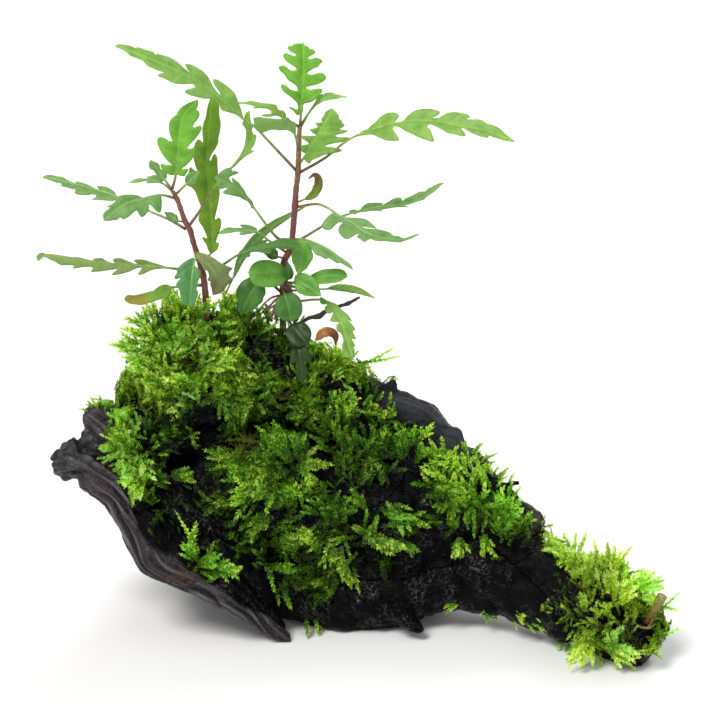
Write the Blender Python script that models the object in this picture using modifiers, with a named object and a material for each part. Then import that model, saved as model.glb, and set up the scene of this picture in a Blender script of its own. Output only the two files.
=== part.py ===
"""Hygrophila with lobed leaves, growing with moss on a piece of dark driftwood.

Run with: blender --background --python part.py

Frame: metres, +X to the right, +Y to the back, +Z up, origin on the ground under the middle.
Tables are in millimetres. Places are given as seen from the front, 20 degrees above the horizon:
RIGHT and UP of the middle of that view, and BACK in depth. seen() turns them into points.
"""

import math
from collections import namedtuple

import bmesh
import bpy
from mathutils import Matrix, Vector
from mathutils.bvhtree import BVHTree

MM = 0.001

# The front view that the tables are given in
VIEW_ELEVATION = math.radians(20)
VIEW_DISTANCE = 1200
VIEW_MIDDLE = Vector((0, 0, 120))
BOX_MIDDLE = Vector((0.2, 20.8, 0))

# Driving sizes
GAP = 0.35
MOSS_GAP = 1.3
WOOD_VOXEL = 3.2
WOOD_TRIANGLES = 1650
MOSS_VOXEL = 3.2
MOSS_SHARE = 0.085
LEAF_THICK = 0.5
LEAF_FOLD = 0.18
NOTCH_DEPTH = 0.6
LOBE_SWEEP = 0.4
STALK_HALF = 0.6
STEM_TRIM = 1.9
WELD = 0.02

# Finishes: colour, roughness
FINISHES = {
    "wood": ((0.035, 0.030, 0.029), 0.5),
    "moss": ((0.16, 0.36, 0.03), 0.8),
    "stem": ((0.27, 0.09, 0.06), 0.5),
    "leaf": ((0.17, 0.42, 0.09), 0.5),
    "dark_leaf": ((0.06, 0.17, 0.04), 0.5),
    "old_leaf": ((0.34, 0.33, 0.07), 0.6),
}

# Driftwood: strands of root, as (right, up, back, radius) from end to end
STRANDS = {
    "left_rim": (
        (-120, -37, 14, 6),
        (-111, -42, 8, 9),
        (-99, -52, 2, 9),
        (-88, -63, -3, 8),
        (-78, -78, -6, 8),
        (-65, -86, -8, 7.5),
        (-46, -97, -9, 7),
        (-38, -105, -8, 5),
        (-29, -112, -7, 3.5),
    ),
    "left_shoulder": (
        (-108, -30, 18, 8),
        (-96, -32, 20, 13),
        (-80, -24, 26, 18),
        (-60, -12, 30, 22),
    ),
    "left_wall": (
        (-96, -42, 26, 12),
        (-80, -58, 22, 18),
        (-62, -74, 16, 18),
        (-46, -86, 10, 15),
    ),
    "upper_ridge": (
        (-72, -8, 30, 18),
        (-50, -4, 32, 18),
        (-26, -8, 34, 15),
        (-4, -16, 34, 13),
        (16, -26, 34, 12),
        (30, -36, 32, 11),
    ),
    "heart": (
        (-66, -38, 36, 30),
        (-44, -50, 36, 36),
        (-16, -62, 34, 36),
        (14, -66, 32, 32),
        (40, -66, 28, 24),
    ),
    "lower_front": (
        (-46, -84, 16, 16),
        (-24, -90, 13, 16),
        (-4, -94, 10, 15.5),
        (16, -92, 12, 15),
        (40, -84, 14, 14),
        (60, -86, 8, 15),
    ),
    "shoulder": (
        (20, -34, 30, 12),
        (38, -46, 24, 14),
        (54, -62, 14, 13),
        (66, -74, 4, 12),
    ),
    "tail": (
        (48, -78, 16, 18),
        (70, -88, 2, 16),
        (90, -97, -12, 14),
        (104, -107, -22, 12),
        (111, -114, -28, 11),
        (117, -117, -30, 8),
    ),
    "rear_left_root": (
        (-56, -44, 44, 26),
        (-68, -66, 62, 18),
        (-76, -82, 78, 12),
    ),
    "rear_middle_root": (
        (-20, -50, 44, 28),
        (-16, -68, 62, 17),
        (-10, -80, 74, 10),
    ),
    "rear_right_root": (
        (20, -64, 40, 24),
        (38, -76, 50, 14),
        (50, -86, 58, 9),
    ),
    "front_spur": (
        (10, -98, 12, 7),
        (16, -104, 11, 4),
        (23, -108.5, 11, 2.2),
    ),
}

# Where the driftwood is parted at its forks: middle of a box in mm, its half sizes and its turn
PARTINGS = {
    "driftwood_tail": ((118, -30, 30), (44, 80, 80), (0, 0, 0)),
    "driftwood_left_end": ((-132, 20, 60), (36, 80, 80), (0, -20, 0)),
    "driftwood_front_root": ((-56, -47, 8), (34, 43, 30), (0, 0, 0)),
    "driftwood_rear_foot": ((-70, 110, 0), (40, 40, 60), (0, 0, 0)),
}

# Moss: tufts as (right, up, back, radius), or on the FRONT or REAR of the wood at that place
FRONT, REAR = "front", "rear"
MOSS = {
    "moss_top": (
        (-92, -12, 22, 9),
        (-86, 0, 24, 10),
        (-80, 12, 26, 11),
        (-68, 16, 28, 11),
        (-54, 16, 28, 11),
        (-42, 11, 28, 10),
        (-28, 6, 28, 10),
        (-14, 1, 30, 8),
        (-2, -4, 30, 7),
        (-80, -12, FRONT, 10),
        (-66, -4, FRONT, 11),
        (-52, -4, FRONT, 11),
        (-38, -6, FRONT, 10),
        (-24, -8, FRONT, 9),
    ),
    "moss_left_edge": (
        (-97, -24, FRONT, 8),
        (-95, -32, FRONT, 8),
        (-93, -42, FRONT, 8),
        (-89, -52, FRONT, 8),
        (-82, -60, FRONT, 7),
    ),
    "moss_face": (
        (-72, -16, FRONT, 9),
        (-56, -14, FRONT, 9),
        (-40, -15, FRONT, 9),
        (-24, -17, FRONT, 9),
        (-8, -20, FRONT, 8),
        (-82, -26, FRONT, 9),
        (-82, -40, FRONT, 9),
        (-76, -52, FRONT, 9),
        (-70, -24, FRONT, 10),
        (-56, -22, FRONT, 10),
        (-40, -22, FRONT, 10),
        (-24, -24, FRONT, 10),
        (-8, -24, FRONT, 9),
        (6, -32, FRONT, 8),
        (-74, -42, FRONT, 10),
        (-58, -40, FRONT, 10),
        (-42, -40, FRONT, 11),
        (-26, -40, FRONT, 11),
        (-10, -40, FRONT, 11),
        (6, -46, FRONT, 10),
        (20, -48, FRONT, 9),
        (-62, -56, FRONT, 9),
        (-46, -58, FRONT, 10),
        (-30, -58, FRONT, 11),
        (-12, -58, FRONT, 11),
        (4, -60, FRONT, 11),
        (18, -64, FRONT, 9),
        (-48, -74, FRONT, 8),
        (-34, -76, FRONT, 10),
        (-18, -76, FRONT, 11),
        (-2, -76, FRONT, 10),
        (12, -78, FRONT, 8),
        (-30, -90, FRONT, 8),
        (-14, -92, FRONT, 8),
    ),
    "moss_shoulder": (
        (29, -50, FRONT, 7),
        (30, -64, FRONT, 7),
        (32, -40, FRONT, 7),
        (42, -46, FRONT, 9),
        (36, -56, FRONT, 9),
        (52, -58, FRONT, 10),
        (44, -70, FRONT, 9),
        (62, -68, FRONT, 9),
        (56, -78, FRONT, 8),
    ),
    "moss_tail": (
        (76, -78, 2, 8),
        (88, -84, -8, 9),
        (100, -90, -14, 10),
        (101, -82, -14, 7),
        (112, -98, -20, 10),
        (120, -106, -24, 8),
        (84, -96, FRONT, 8),
        (94, -104, FRONT, 9),
        (104, -110, FRONT, 9),
        (114, -114, FRONT, 8),
    ),
    "moss_front_sprig": (
        (-70, -72, FRONT, 5),
        (-68, -80, FRONT, 6),
        (-60, -84, FRONT, 6),
        (-52, -88, FRONT, 4),
    ),
    "moss_back": (
        (-84, 0, REAR, 9),
        (-70, 2, REAR, 11),
        (-54, 2, REAR, 11),
        (-38, -2, REAR, 11),
        (-22, -6, REAR, 10),
        (-6, -14, REAR, 9),
        (-74, -14, REAR, 10),
        (-58, -16, REAR, 11),
        (-42, -18, REAR, 11),
        (-26, -24, REAR, 10),
        (-8, -30, REAR, 9),
    ),
}

# Stems and the bare twig: (right, up, back, radius)
STEMS = {
    "stem_main": (
        (-24, 94.4, 30, 0.9),
        (-24.4, 88, 30, 1.0),
        (-24.8, 75.2, 30, 1.2),
        (-25.6, 68, 30, 1.1),
        (-26, 62, 30, 1.3),
        (-27.2, 48, 30, 1.2),
        (-28.4, 43.2, 30, 1.3),
        (-30.4, 39.2, 30, 1.3),
        (-30.8, 32, 30, 1.4),
        (-30.8, 24, 30, 1.4),
        (-30.8, 17, 30, 1.4),
    ),
    "stem_left": (
        (-75.2, 68, 24, 0.9),
        (-73.2, 64.4, 24, 1.1),
        (-72, 61.2, 24, 1.1),
        (-70, 55.6, 24, 1.2),
        (-68, 52, 24, 1.3),
        (-66.8, 47.6, 24, 1.2),
        (-65.2, 42.4, 24, 1.3),
        (-62.8, 34, 24, 1.4),
        (-61.6, 24, 24, 1.4),
    ),
}
TWIGS = {
    "twig_low_right": (
        (-28.4, 13, 29, 0.9),
        (-22.8, 15.2, 29, 0.9),
        (-16, 18, 29, 0.9),
        (-8, 20.8, 28, 0.8),
        (0, 25.2, 27, 0.6),
    ),
    "twig_on_tail": (
        (112, -106, -24, 2.6),
        (117, -98, -26, 2.4),
        (121.5, -93, -28, 2.1),
    ),
}

Leaf = namedtuple("Leaf", "name finish half lobes stalk face line")

# Leaves: widest half width, pairs of lobes, points that belong to the stalk, the way the upper side
# faces, and the middle line from the axis of the stem to the tip as (right, up, back)
LEAVES = (
    Leaf("leaf_top", "leaf", 8.4, 5, 1, (0, -1, 0.2), (
        (-24, 93.6, 30), (-23.6, 99, 27), (-23, 108, 25), (-22.6, 118, 24), (-22.8, 126.4, 24))),
    Leaf("leaf_top_right", "leaf", 4.5, 3, 1, (0, -0.5, 1), (
        (-24, 93, 30), (-20, 99.5, 28), (-15.6, 105, 27), (-10.5, 106, 26), (-5.6, 105, 25))),
    Leaf("leaf_top_left", "leaf", 4.5, 4, 1, (0, -0.4, 1), (
        (-24, 93, 30), (-30, 96.8, 27), (-34.8, 100.8, 26), (-41, 102.8, 25), (-48, 102.8, 24))),
    Leaf("leaf_inner_left", "leaf", 4.5, 3, 1, (0, 0.5, 1), (
        (-24.6, 84, 30), (-26, 90, 22), (-29, 94.6, 16), (-35, 95.6, 11), (-42.4, 94.8, 7))),
    Leaf("leaf_mid_right", "leaf", 6.8, 5, 1, (-0.4, -1, 0.3), (
        (-24.6, 78.4, 30), (-22.4, 81, 27), (-19, 87, 25), (-14.6, 94.4, 24), (-11.2, 100.4, 23))),
    Leaf("leaf_right_big", "leaf", 8.5, 5, 3, (0, -0.5, 1), (
        (-24.8, 74.6, 30), (-14, 80.8, 26), (-6, 87.2, 22), (0.4, 90.4, 19), (14.8, 94.8, 14),
        (28, 95.4, 9), (41.2, 93.2, 5), (51.2, 91.2, 2), (60.8, 87.6, -1))),
    Leaf("leaf_left_big", "leaf", 8.5, 6, 3, (0.2, -0.45, 1), (
        (-24.8, 75, 30), (-34, 84.8, 27), (-42, 93.2, 25), (-46.8, 96.4, 24), (-56.8, 105.2, 20),
        (-66.8, 112.4, 16), (-80.4, 118.8, 11), (-93.2, 124, 7), (-97.6, 125.6, 5))),
    Leaf("leaf_curled", "old_leaf", 2.6, 0, 1, (0.3, -1, 0), (
        (-26, 62.6, 30), (-21.4, 66, 26), (-17.4, 70, 25), (-16.8, 73, 24), (-19.2, 74.6, 23),
        (-21.6, 71.6, 22))),
    Leaf("leaf_right_narrow", "leaf", 6, 5, 2, (0, -0.1, 1), (
        (-27.4, 46, 30), (-12, 55.2, 37), (-3.2, 58.8, 40), (8, 61.2, 43), (20, 62.6, 46),
        (26, 65.4, 47), (32.8, 70.4, 49))),
    Leaf("leaf_right_wide", "leaf", 8, 4, 3, (-0.1, -0.35, 1), (
        (-26, 61, 30), (-17.6, 62.4, 26), (-12.8, 60.8, 24), (-9.2, 58.4, 22), (-3, 54.6, 18),
        (2.8, 50.6, 14), (10, 48.4, 9), (16, 48, 5), (22.8, 50, 1))),
    Leaf("leaf_lower_right", "leaf", 5.6, 3, 1, (0.2, -0.5, 1), (
        (-27.6, 48.4, 30), (-21.2, 48, 25), (-14, 45, 21), (-8, 40.8, 18), (-3.2, 36.4, 15))),
    Leaf("leaf_hanging", "dark_leaf", 4, 2, 1, (0, -1, 0.3), (
        (-28, 44.4, 30), (-24.4, 43, 24), (-24, 38.6, 22), (-24.8, 34.8, 21))),
    Leaf("leaf_left_top", "leaf", 8, 5, 1, (0.1, -1, 0.2), (
        (-75.2, 68, 24), (-73.6, 74.6, 22), (-72.6, 86.4, 20), (-70.8, 97.2, 19), (-65.2, 103.6, 18))),
    Leaf("leaf_left_dark", "dark_leaf", 5, 6, 2, (0.5, -1, 0), (
        (-64.4, 39, 24), (-59.6, 43, 29), (-59.4, 52, 31), (-60.6, 68, 32), (-61.4, 78, 32),
        (-60.6, 92, 32), (-59.6, 104.8, 32))),
    Leaf("leaf_left_drooping", "leaf", 6.4, 4, 1, (0, -0.9, 0.7), (
        (-73.4, 64.6, 24), (-80, 66, 19), (-87, 64.6, 17), (-95, 62, 15), (-102, 56.4, 13))),
    Leaf("leaf_far_left", "leaf", 6.4, 5, 2, (0, -0.15, 1), (
        (-69.2, 52, 25), (-76, 56, 28), (-84.4, 59.6, 31), (-96.8, 65.2, 34), (-105.2, 68, 37),
        (-114, 70.4, 39), (-126.4, 73.2, 42))),
    Leaf("leaf_left_folded", "leaf", 4, 2, 1, (-0.5, -1, 0.4), (
        (-75, 67.6, 24), (-78, 72, 25), (-80.6, 76, 26), (-83.6, 80, 26))),
    Leaf("leaf_left_thin", "leaf", 2.4, 2, 1, (0, -0.5, 1), (
        (-74.6, 67, 24), (-79, 70.6, 22), (-85, 71.8, 20), (-92.4, 70.8, 19))),
    Leaf("leaf_left_small", "leaf", 3.4, 1, 1, (0.3, -1, 0.5), (
        (-74, 66, 24), (-69.4, 70.4, 20), (-66.6, 73, 18), (-64, 75.2, 17))),
    Leaf("leaf_left_tiny", "leaf", 1.8, 0, 1, (0, -1, 0.5), (
        (-70, 55.4, 24), (-72.8, 55.6, 21), (-75.6, 57.4, 20), (-78, 59, 20))),
    Leaf("leaf_left_long", "leaf", 6.2, 6, 2, (0, -0.6, 1), (
        (-63.4, 36, 24), (-72.8, 36.4, 18), (-78, 37, 15), (-92, 38, 8), (-106, 39.4, 2),
        (-118, 41.2, -2), (-125, 42, -4), (-128.4, 40, -5))),
    Leaf("leaf_front_drooping", "dark_leaf", 5, 3, 1, (0, -1, 0.2), (
        (-65.4, 43.4, 24), (-66, 40.4, 18), (-67, 35, 15), (-67.6, 29, 13), (-68, 22, 12))),
    Leaf("leaf_crumpled", "old_leaf", 4, 0, 1, (0.2, -1, 0.3), (
        (-65, 41.6, 24), (-59, 40, 19), (-55.6, 36, 17), (-55, 32, 16), (-56.4, 28.4, 15))),
    Leaf("leaf_old_left", "old_leaf", 4.4, 3, 1, (0, -0.6, 1), (
        (-62.4, 30, 24), (-76, 29, 17), (-82, 27.6, 14), (-88, 26, 12), (-94, 24.4, 11))),
    Leaf("leaf_crossing_left", "leaf", 4.4, 3, 3, (0.2, -0.6, 1), (
        (-27.2, 48, 30), (-33.2, 49, 27), (-42.4, 60.8, 24), (-46.8, 66, 22), (-51, 69.6, 20),
        (-58, 72.8, 19))),
    Leaf("leaf_inner_right", "leaf", 4.4, 3, 3, (-0.5, -1, 0.2), (
        (-68.6, 53.4, 24), (-64.4, 59.2, 26), (-58, 69.2, 27), (-51.2, 77.2, 28), (-46, 85.2, 29),
        (-44.4, 99.2, 30))),
    Leaf("leaf_low_crossing", "dark_leaf", 4, 3, 2, (0, -0.5, 1), (
        (-63.6, 37.4, 24), (-56.8, 37.2, 20), (-48, 42.8, 18), (-39.2, 45.2, 17), (-31, 46.8, 17),
        (-24, 46.8, 17))),
    Leaf("leaf_rear_long", "leaf", 3.6, 4, 1, (0.3, -1, 0.3), (
        (-56, 22, 34), (-50.8, 32.8, 37), (-46.8, 42, 39), (-37.2, 52.4, 43), (-22.4, 61.2, 46))),
    Leaf("leaf_pale_small", "leaf", 3, 2, 2, (0, -0.6, 1), (
        (-28.8, 42.6, 30), (-36.8, 48, 26), (-41.2, 51.2, 24), (-50, 51.6, 22), (-56.4, 50.4, 21))),
    Leaf("leaf_round_left", "leaf", 5.4, 0, 1, (0, -0.9, 0.6), (
        (-30.6, 37.4, 30), (-32, 36, 25), (-37.6, 34.8, 22), (-44, 34, 20))),
    Leaf("leaf_round_low", "leaf", 5, 0, 1, (0, -1, 0.3), (
        (-30.8, 29, 30), (-30, 26, 23), (-28.4, 20.6, 20), (-27.6, 15.6, 19))),
    Leaf("leaf_smooth_right", "leaf", 5, 0, 1, (0, -0.5, 1), (
        (-30.8, 31, 30), (-22, 31, 25), (-13.6, 33.2, 22), (-5.2, 33.2, 20))),
    Leaf("leaf_basal_small", "leaf", 3, 0, 1, (-0.3, -1, 0.5), (
        (-30.8, 25, 30), (-24, 25.4, 21), (-20, 27.4, 18), (-15.6, 29.6, 17))),
    Leaf("leaf_dark_left", "dark_leaf", 4.4, 0, 1, (0, -0.8, 0.6), (
        (-30.8, 26.6, 30), (-38, 27, 26), (-43, 24.4, 24), (-46.4, 20.8, 22))),
    Leaf("leaf_thin_right", "old_leaf", 2.2, 0, 1, (0, -0.5, 1), (
        (-30.8, 27.6, 30), (-13, 28.4, 31), (-3, 28, 31), (5.6, 24.8, 31))),
    Leaf("leaf_lobed_drooping", "leaf", 5, 4, 1, (0.3, -1, 0.4), (
        (-30.8, 22.6, 30), (-15.2, 24, 26), (-9.2, 18, 22), (-6, 10, 18), (-3.2, 1.2, 16))),
    Leaf("leaf_dead", "old_leaf", 2, 0, 0, (0, -1, 0.5), (
        (-20.6, 11.6, 19), (-17, 10.8, 18), (-13.2, 9.6, 18))),
    Leaf("leaf_dark_low", "dark_leaf", 4, 0, 1, (0.2, -1, 0.4), (
        (-30.8, 19, 30), (-27, 13.6, 20), (-24, 9.6, 16), (-20.8, 6.4, 14))),
    Leaf("leaf_dark_hanging", "dark_leaf", 4, 2, 0, (0, -1, 0.3), (
        (-25.2, 6, 15), (-24, 1, 12), (-23.2, -9, 10))),
    Leaf("leaf_between_stems", "dark_leaf", 2.6, 0, 1, (0, -0.8, 0.6), (
        (-29.8, 40.6, 30), (-33, 41.4, 26), (-36, 42.8, 25), (-39.4, 43.8, 24))),
    Leaf("leaf_small_upright", "leaf", 1.6, 0, 1, (0.2, -1, 0), (
        (-30.6, 34.6, 30), (-28.8, 36.4, 25.4), (-28.8, 39.6, 22.6), (-29, 43.4, 21.6))),
)


def seen(right, up, back):
    """The point, in metres, that is seen RIGHT and UP in the front view and lies BACK (all in mm)."""
    sine, cosine = math.sin(VIEW_ELEVATION), math.cos(VIEW_ELEVATION)
    eye = VIEW_MIDDLE + VIEW_DISTANCE * Vector((0, -cosine, sine))
    across, rise = right / VIEW_DISTANCE, up / VIEW_DISTANCE
    ray = Vector((across, cosine + rise * sine, rise * cosine - sine))
    return (eye + ray * ((back - eye.y) / ray.y) - BOX_MIDDLE) * MM


def collection(name):
    found = bpy.data.collections.get(name) or bpy.data.collections.new(name)
    if name not in bpy.context.scene.collection.children:
        bpy.context.scene.collection.children.link(found)
    return found


def finish(name):
    found = bpy.data.materials.get(name)
    if found is None:
        colour, roughness = FINISHES[name]
        found = bpy.data.materials.new(name)
        found.use_nodes = True
        shader = found.node_tree.nodes["Principled BSDF"]
        shader.inputs["Base Color"].default_value = (*colour, 1)
        shader.inputs["Roughness"].default_value = roughness
        shader.inputs["Metallic"].default_value = 0
    return found


def add(name, data, finish_name=None):
    """A new object of the part, or a hidden guide where it has no finish."""
    obj = bpy.data.objects.new(name, data)
    if finish_name:
        collection("hygrophila_on_driftwood").objects.link(obj)
        data.materials.append(finish(finish_name))
    else:
        collection("guides").objects.link(obj)
        obj.hide_render = True
        obj.display_type = "WIRE"
    bpy.context.view_layer.update()
    return obj


def baked(obj):
    """The object's evaluated mesh, in world space."""
    bpy.context.view_layer.update()
    graph = bpy.context.evaluated_depsgraph_get()
    mesh = bpy.data.meshes.new_from_object(obj.evaluated_get(graph))
    mesh.transform(obj.matrix_world)
    return mesh


def tube(name, rows, sides, last=None):
    """The mesh of a round tube through ROWS of (right, up, back, radius), ending at LAST if given."""
    points = [seen(*row[:3]) for row in rows]
    radii = [row[3] for row in rows]
    if last:
        points.append(last)
        radii.append(radii[-1])
    curve = bpy.data.curves.new(name, "CURVE")
    curve.dimensions = "3D"
    curve.bevel_depth = MM
    curve.bevel_resolution = sides
    curve.use_fill_caps = True
    line = curve.splines.new("POLY")
    line.points.add(len(points) - 1)
    for spot, place, radius in zip(line.points, points, radii):
        spot.co = (*place, 1)
        spot.radius = radius
    guide = add(name + "_guide", curve)
    mesh = baked(guide)
    bpy.data.objects.remove(guide)
    shape = bmesh.new()
    shape.from_mesh(mesh)
    bmesh.ops.remove_doubles(shape, verts=shape.verts, dist=0.01 * MM)
    shape.to_mesh(mesh)
    shape.free()
    return mesh


def clouds(name, size):
    texture = bpy.data.textures.new(name, "CLOUDS")
    texture.noise_scale = size * MM
    texture.noise_depth = 2
    return texture


def fused(name, meshes, voxel, swell, swell_size, triangles, share=None):
    """One closed body of all MESHES: fused, smoothed, made uneven and thinned."""
    joined = bmesh.new()
    for mesh in meshes:
        joined.from_mesh(mesh)
    mesh = bpy.data.meshes.new(name)
    joined.to_mesh(mesh)
    joined.free()
    obj = add(name, mesh)
    remesh = obj.modifiers.new("fuse", "REMESH")
    remesh.mode = "VOXEL"
    remesh.voxel_size = voxel * MM
    smooth = obj.modifiers.new("smooth", "SMOOTH")
    smooth.iterations = 4
    uneven = obj.modifiers.new("uneven", "DISPLACE")
    uneven.texture = clouds(name, swell_size)
    uneven.texture_coords = "GLOBAL"
    uneven.strength = swell * MM
    whole = baked(obj)
    thin = obj.modifiers.new("thin", "DECIMATE")
    thin.ratio = share or min(1, triangles / (2 * len(whole.polygons)))
    obj.data = baked(obj)
    obj.modifiers.clear()
    return obj


def remove_fins(shape):
    """Removes pairs of triangles that lie back to back on the same three corners."""
    corners = {}
    for face in shape.faces:
        corners.setdefault(frozenset(face.verts), []).append(face)
    fins = [face for pair in corners.values() if len(pair) > 1 for face in pair]
    bmesh.ops.delete(shape, geom=fins, context="FACES")


def largest_body(mesh):
    """Keeps only the largest connected piece of MESH."""
    shape = bmesh.new()
    shape.from_mesh(mesh)
    left, bodies = set(shape.verts), []
    while left:
        body, edge = set(), [left.pop()]
        while edge:
            vert = edge.pop()
            body.add(vert)
            near = {link.other_vert(vert) for link in vert.link_edges} & left
            left -= near
            edge.extend(near)
        bodies.append(body)
    bodies.sort(key=len, reverse=True)
    for body in bodies[1:]:
        bmesh.ops.delete(shape, geom=list(body), context="VERTS")
    bmesh.ops.remove_doubles(shape, verts=shape.verts, dist=WELD * MM)
    bmesh.ops.dissolve_degenerate(shape, edges=shape.edges, dist=WELD * MM)
    bmesh.ops.triangulate(shape, faces=shape.faces, ngon_method="EAR_CLIP")
    remove_fins(shape)
    shape.to_mesh(mesh)
    shape.free()
    return mesh


def combine(obj, other, operation):
    """Gives OBJ the largest body that a Boolean with OTHER leaves."""
    cut = obj.modifiers.new("cut", "BOOLEAN")
    cut.operation = operation
    cut.object = other
    cut.use_self = True
    mesh = largest_body(baked(obj))
    obj.modifiers.remove(cut)
    obj.data = mesh


def swollen(obj, by):
    """A hidden copy of OBJ, BY mm larger all round."""
    copy = add(obj.name + "_swollen", obj.data.copy())
    grow = copy.modifiers.new("grow", "DISPLACE")
    grow.mid_level = 0
    grow.strength = by * MM
    copy.data = baked(copy)
    copy.modifiers.clear()
    return copy


def block(name, middle, half, turn=(0, 0, 0)):
    """A hidden box: its middle and half sizes in mm, turned by degrees about X, Y and Z."""
    mesh = bpy.data.meshes.new(name)
    shape = bmesh.new()
    place = Matrix.Translation((Vector(middle) - BOX_MIDDLE) * MM)
    for angle, axis in zip(turn, "XYZ"):
        place = place @ Matrix.Rotation(math.radians(angle), 4, axis)
    size = Matrix.Diagonal((*(2 * MM * Vector(half)), 1))
    bmesh.ops.create_cube(shape, size=1, matrix=place @ size)
    shape.to_mesh(mesh)
    shape.free()
    return add(name, mesh)


def driftwood_form():
    """The whole driftwood as one hidden form, cut flat where it stands."""
    meshes = [tube(name, rows, 4) for name, rows in STRANDS.items()]
    form = fused("driftwood_form", meshes, WOOD_VOXEL, 5, 14, WOOD_TRIANGLES)
    ground = block("ground", (0, 0, -50), (300, 300, 50))
    combine(form, ground, "DIFFERENCE")
    return form


def part_driftwood(form):
    """The pieces of the driftwood, parted at its forks with a gap between them."""
    body = add("driftwood_body", form.data.copy(), "wood")
    for name, (middle, half, turn) in PARTINGS.items():
        piece = add(name, body.data.copy(), "wood")
        combine(piece, block(name + "_box", middle, half, turn), "INTERSECT")
        wide = [size + GAP for size in half]
        combine(body, block(name + "_gap", middle, wide, turn), "DIFFERENCE")


def on_surface(tree, right, up, side):
    """The point of TREE's front or rear surface on the line of sight through RIGHT and UP."""
    near, far = seen(right, up, -200), seen(right, up, 200)
    if side == REAR:
        near, far = far, near
    hit = tree.ray_cast(near, (far - near).normalized())[0]
    return hit or tree.find_nearest(seen(right, up, 20))[0]


def moss(form, others):
    """The cushions of moss on the driftwood, cut free of the wood and of OTHERS."""
    tree = BVHTree.FromObject(form, bpy.context.evaluated_depsgraph_get())
    wood = swollen(form, MOSS_GAP)
    done = []
    for name, tufts in MOSS.items():
        meshes = []
        for right, up, back, radius in tufts:
            if back in (FRONT, REAR):
                place = on_surface(tree, right, up, back)
            else:
                place = seen(right, up, back)
            ball = bmesh.new()
            size = radius * MM
            bmesh.ops.create_icosphere(ball, subdivisions=2, radius=size)
            bmesh.ops.translate(ball, verts=ball.verts, vec=place)
            mesh = bpy.data.meshes.new(name)
            ball.to_mesh(mesh)
            ball.free()
            meshes.append(mesh)
        cushion = fused(name + "_form", meshes, MOSS_VOXEL, 3, 7, 0, MOSS_SHARE)
        combine(cushion, wood, "DIFFERENCE")
        for other in done + others:
            if touches(cushion, other):
                combine(cushion, other, "DIFFERENCE")
        add(name, cushion.data.copy(), "moss")
        done.append(swollen(cushion, GAP))


def touches(one, other):
    graph = bpy.context.evaluated_depsgraph_get()
    return bool(BVHTree.FromObject(one, graph).overlap(BVHTree.FromObject(other, graph)))


def smooth_line(points):
    """A smooth curve through POINTS as close steps, with the distance along it at each step."""
    ends = [2 * points[0] - points[1], *points, 2 * points[-1] - points[-2]]
    dense = []
    for a, b, c, d in zip(ends, ends[1:], ends[2:], ends[3:]):
        for k in range(12):
            t = k / 12
            turn = (2 * a - 5 * b + 4 * c - d) * t**2 + (3 * b - a - 3 * c + d) * t**3
            dense.append(0.5 * (2 * b + (c - a) * t + turn))
    dense.append(points[-1])
    reach = [0]
    for a, b in zip(dense, dense[1:]):
        reach.append(reach[-1] + (b - a).length)
    return dense, reach


def along(line, distance):
    """The place and the direction at DISTANCE along a smooth line."""
    dense, reach = line
    k = 0
    while k < len(dense) - 2 and reach[k + 1] < distance:
        k += 1
    share = (distance - reach[k]) / (reach[k + 1] - reach[k])
    direction = (dense[min(k + 2, len(dense) - 1)] - dense[max(k - 1, 0)]).normalized()
    return dense[k].lerp(dense[k + 1], min(share, 1)), direction


def blade_half(leaf, share):
    """Half the width of a leaf's blade, in mm, at a share of its length: lobes in a pointed oval."""
    oval = leaf.half * math.sin(math.pi * min(share, 1) ** 0.85) ** 0.7
    if leaf.lobes:
        lobe = math.sin(math.pi * (share * leaf.lobes % 1)) ** 0.6
        oval *= 1 - NOTCH_DEPTH * (1 - lobe)
    return max(oval, 0.3)


def leaf_rows(leaf, line):
    """Rows of (distance along the line, half width) for a leaf's stalk and blade."""
    reach = line[1]
    start = STEM_TRIM * MM if leaf.stalk else 0
    base = reach[12 * leaf.stalk]
    rows = []
    if leaf.stalk:
        steps = 1 + int((base - start) / (14 * MM))
        rows = [(start + (base - start) * k / steps, STALK_HALF) for k in range(steps)]
    if leaf.lobes:
        shares = [k / (2 * leaf.lobes) for k in range(2 * leaf.lobes)] + [1]
    else:
        shares = [0, 0.12, 0.35, 0.65, 0.88, 1]
    for share in shares:
        half = max(blade_half(leaf, share), STALK_HALF if share < 0.5 else 0.3)
        rows.append((base + (reach[-1] - base) * share, half))
    return rows


def add_leaf(leaf):
    """One leaf: a grid of three columns bent along its line, thickened to a solid."""
    line = smooth_line([seen(*place) for place in leaf.line])
    rows = leaf_rows(leaf, line)
    face = Vector(leaf.face)
    shape = bmesh.new()
    bmesh.ops.create_grid(shape, x_segments=2, y_segments=len(rows) - 1, size=1)
    for vert in shape.verts:
        column = round(vert.co.x)
        row = round((vert.co.y + 1) / 2 * (len(rows) - 1))
        distance, half = rows[row]
        place, direction = along(line, distance)
        side = direction.cross(face).normalized()
        up = side.cross(direction)
        sweep = LOBE_SWEEP * half if leaf.lobes else 0
        fold = LEAF_FOLD * half
        vert.co = place + (side * column * half + (direction * sweep + up * fold) * abs(column)) * MM
    mesh = bpy.data.meshes.new(leaf.name)
    shape.to_mesh(mesh)
    shape.free()
    obj = add(leaf.name, mesh, leaf.finish)
    thick = obj.modifiers.new("thick", "SOLIDIFY")
    thick.thickness = LEAF_THICK * MM
    thick.offset = 0
    return obj


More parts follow.
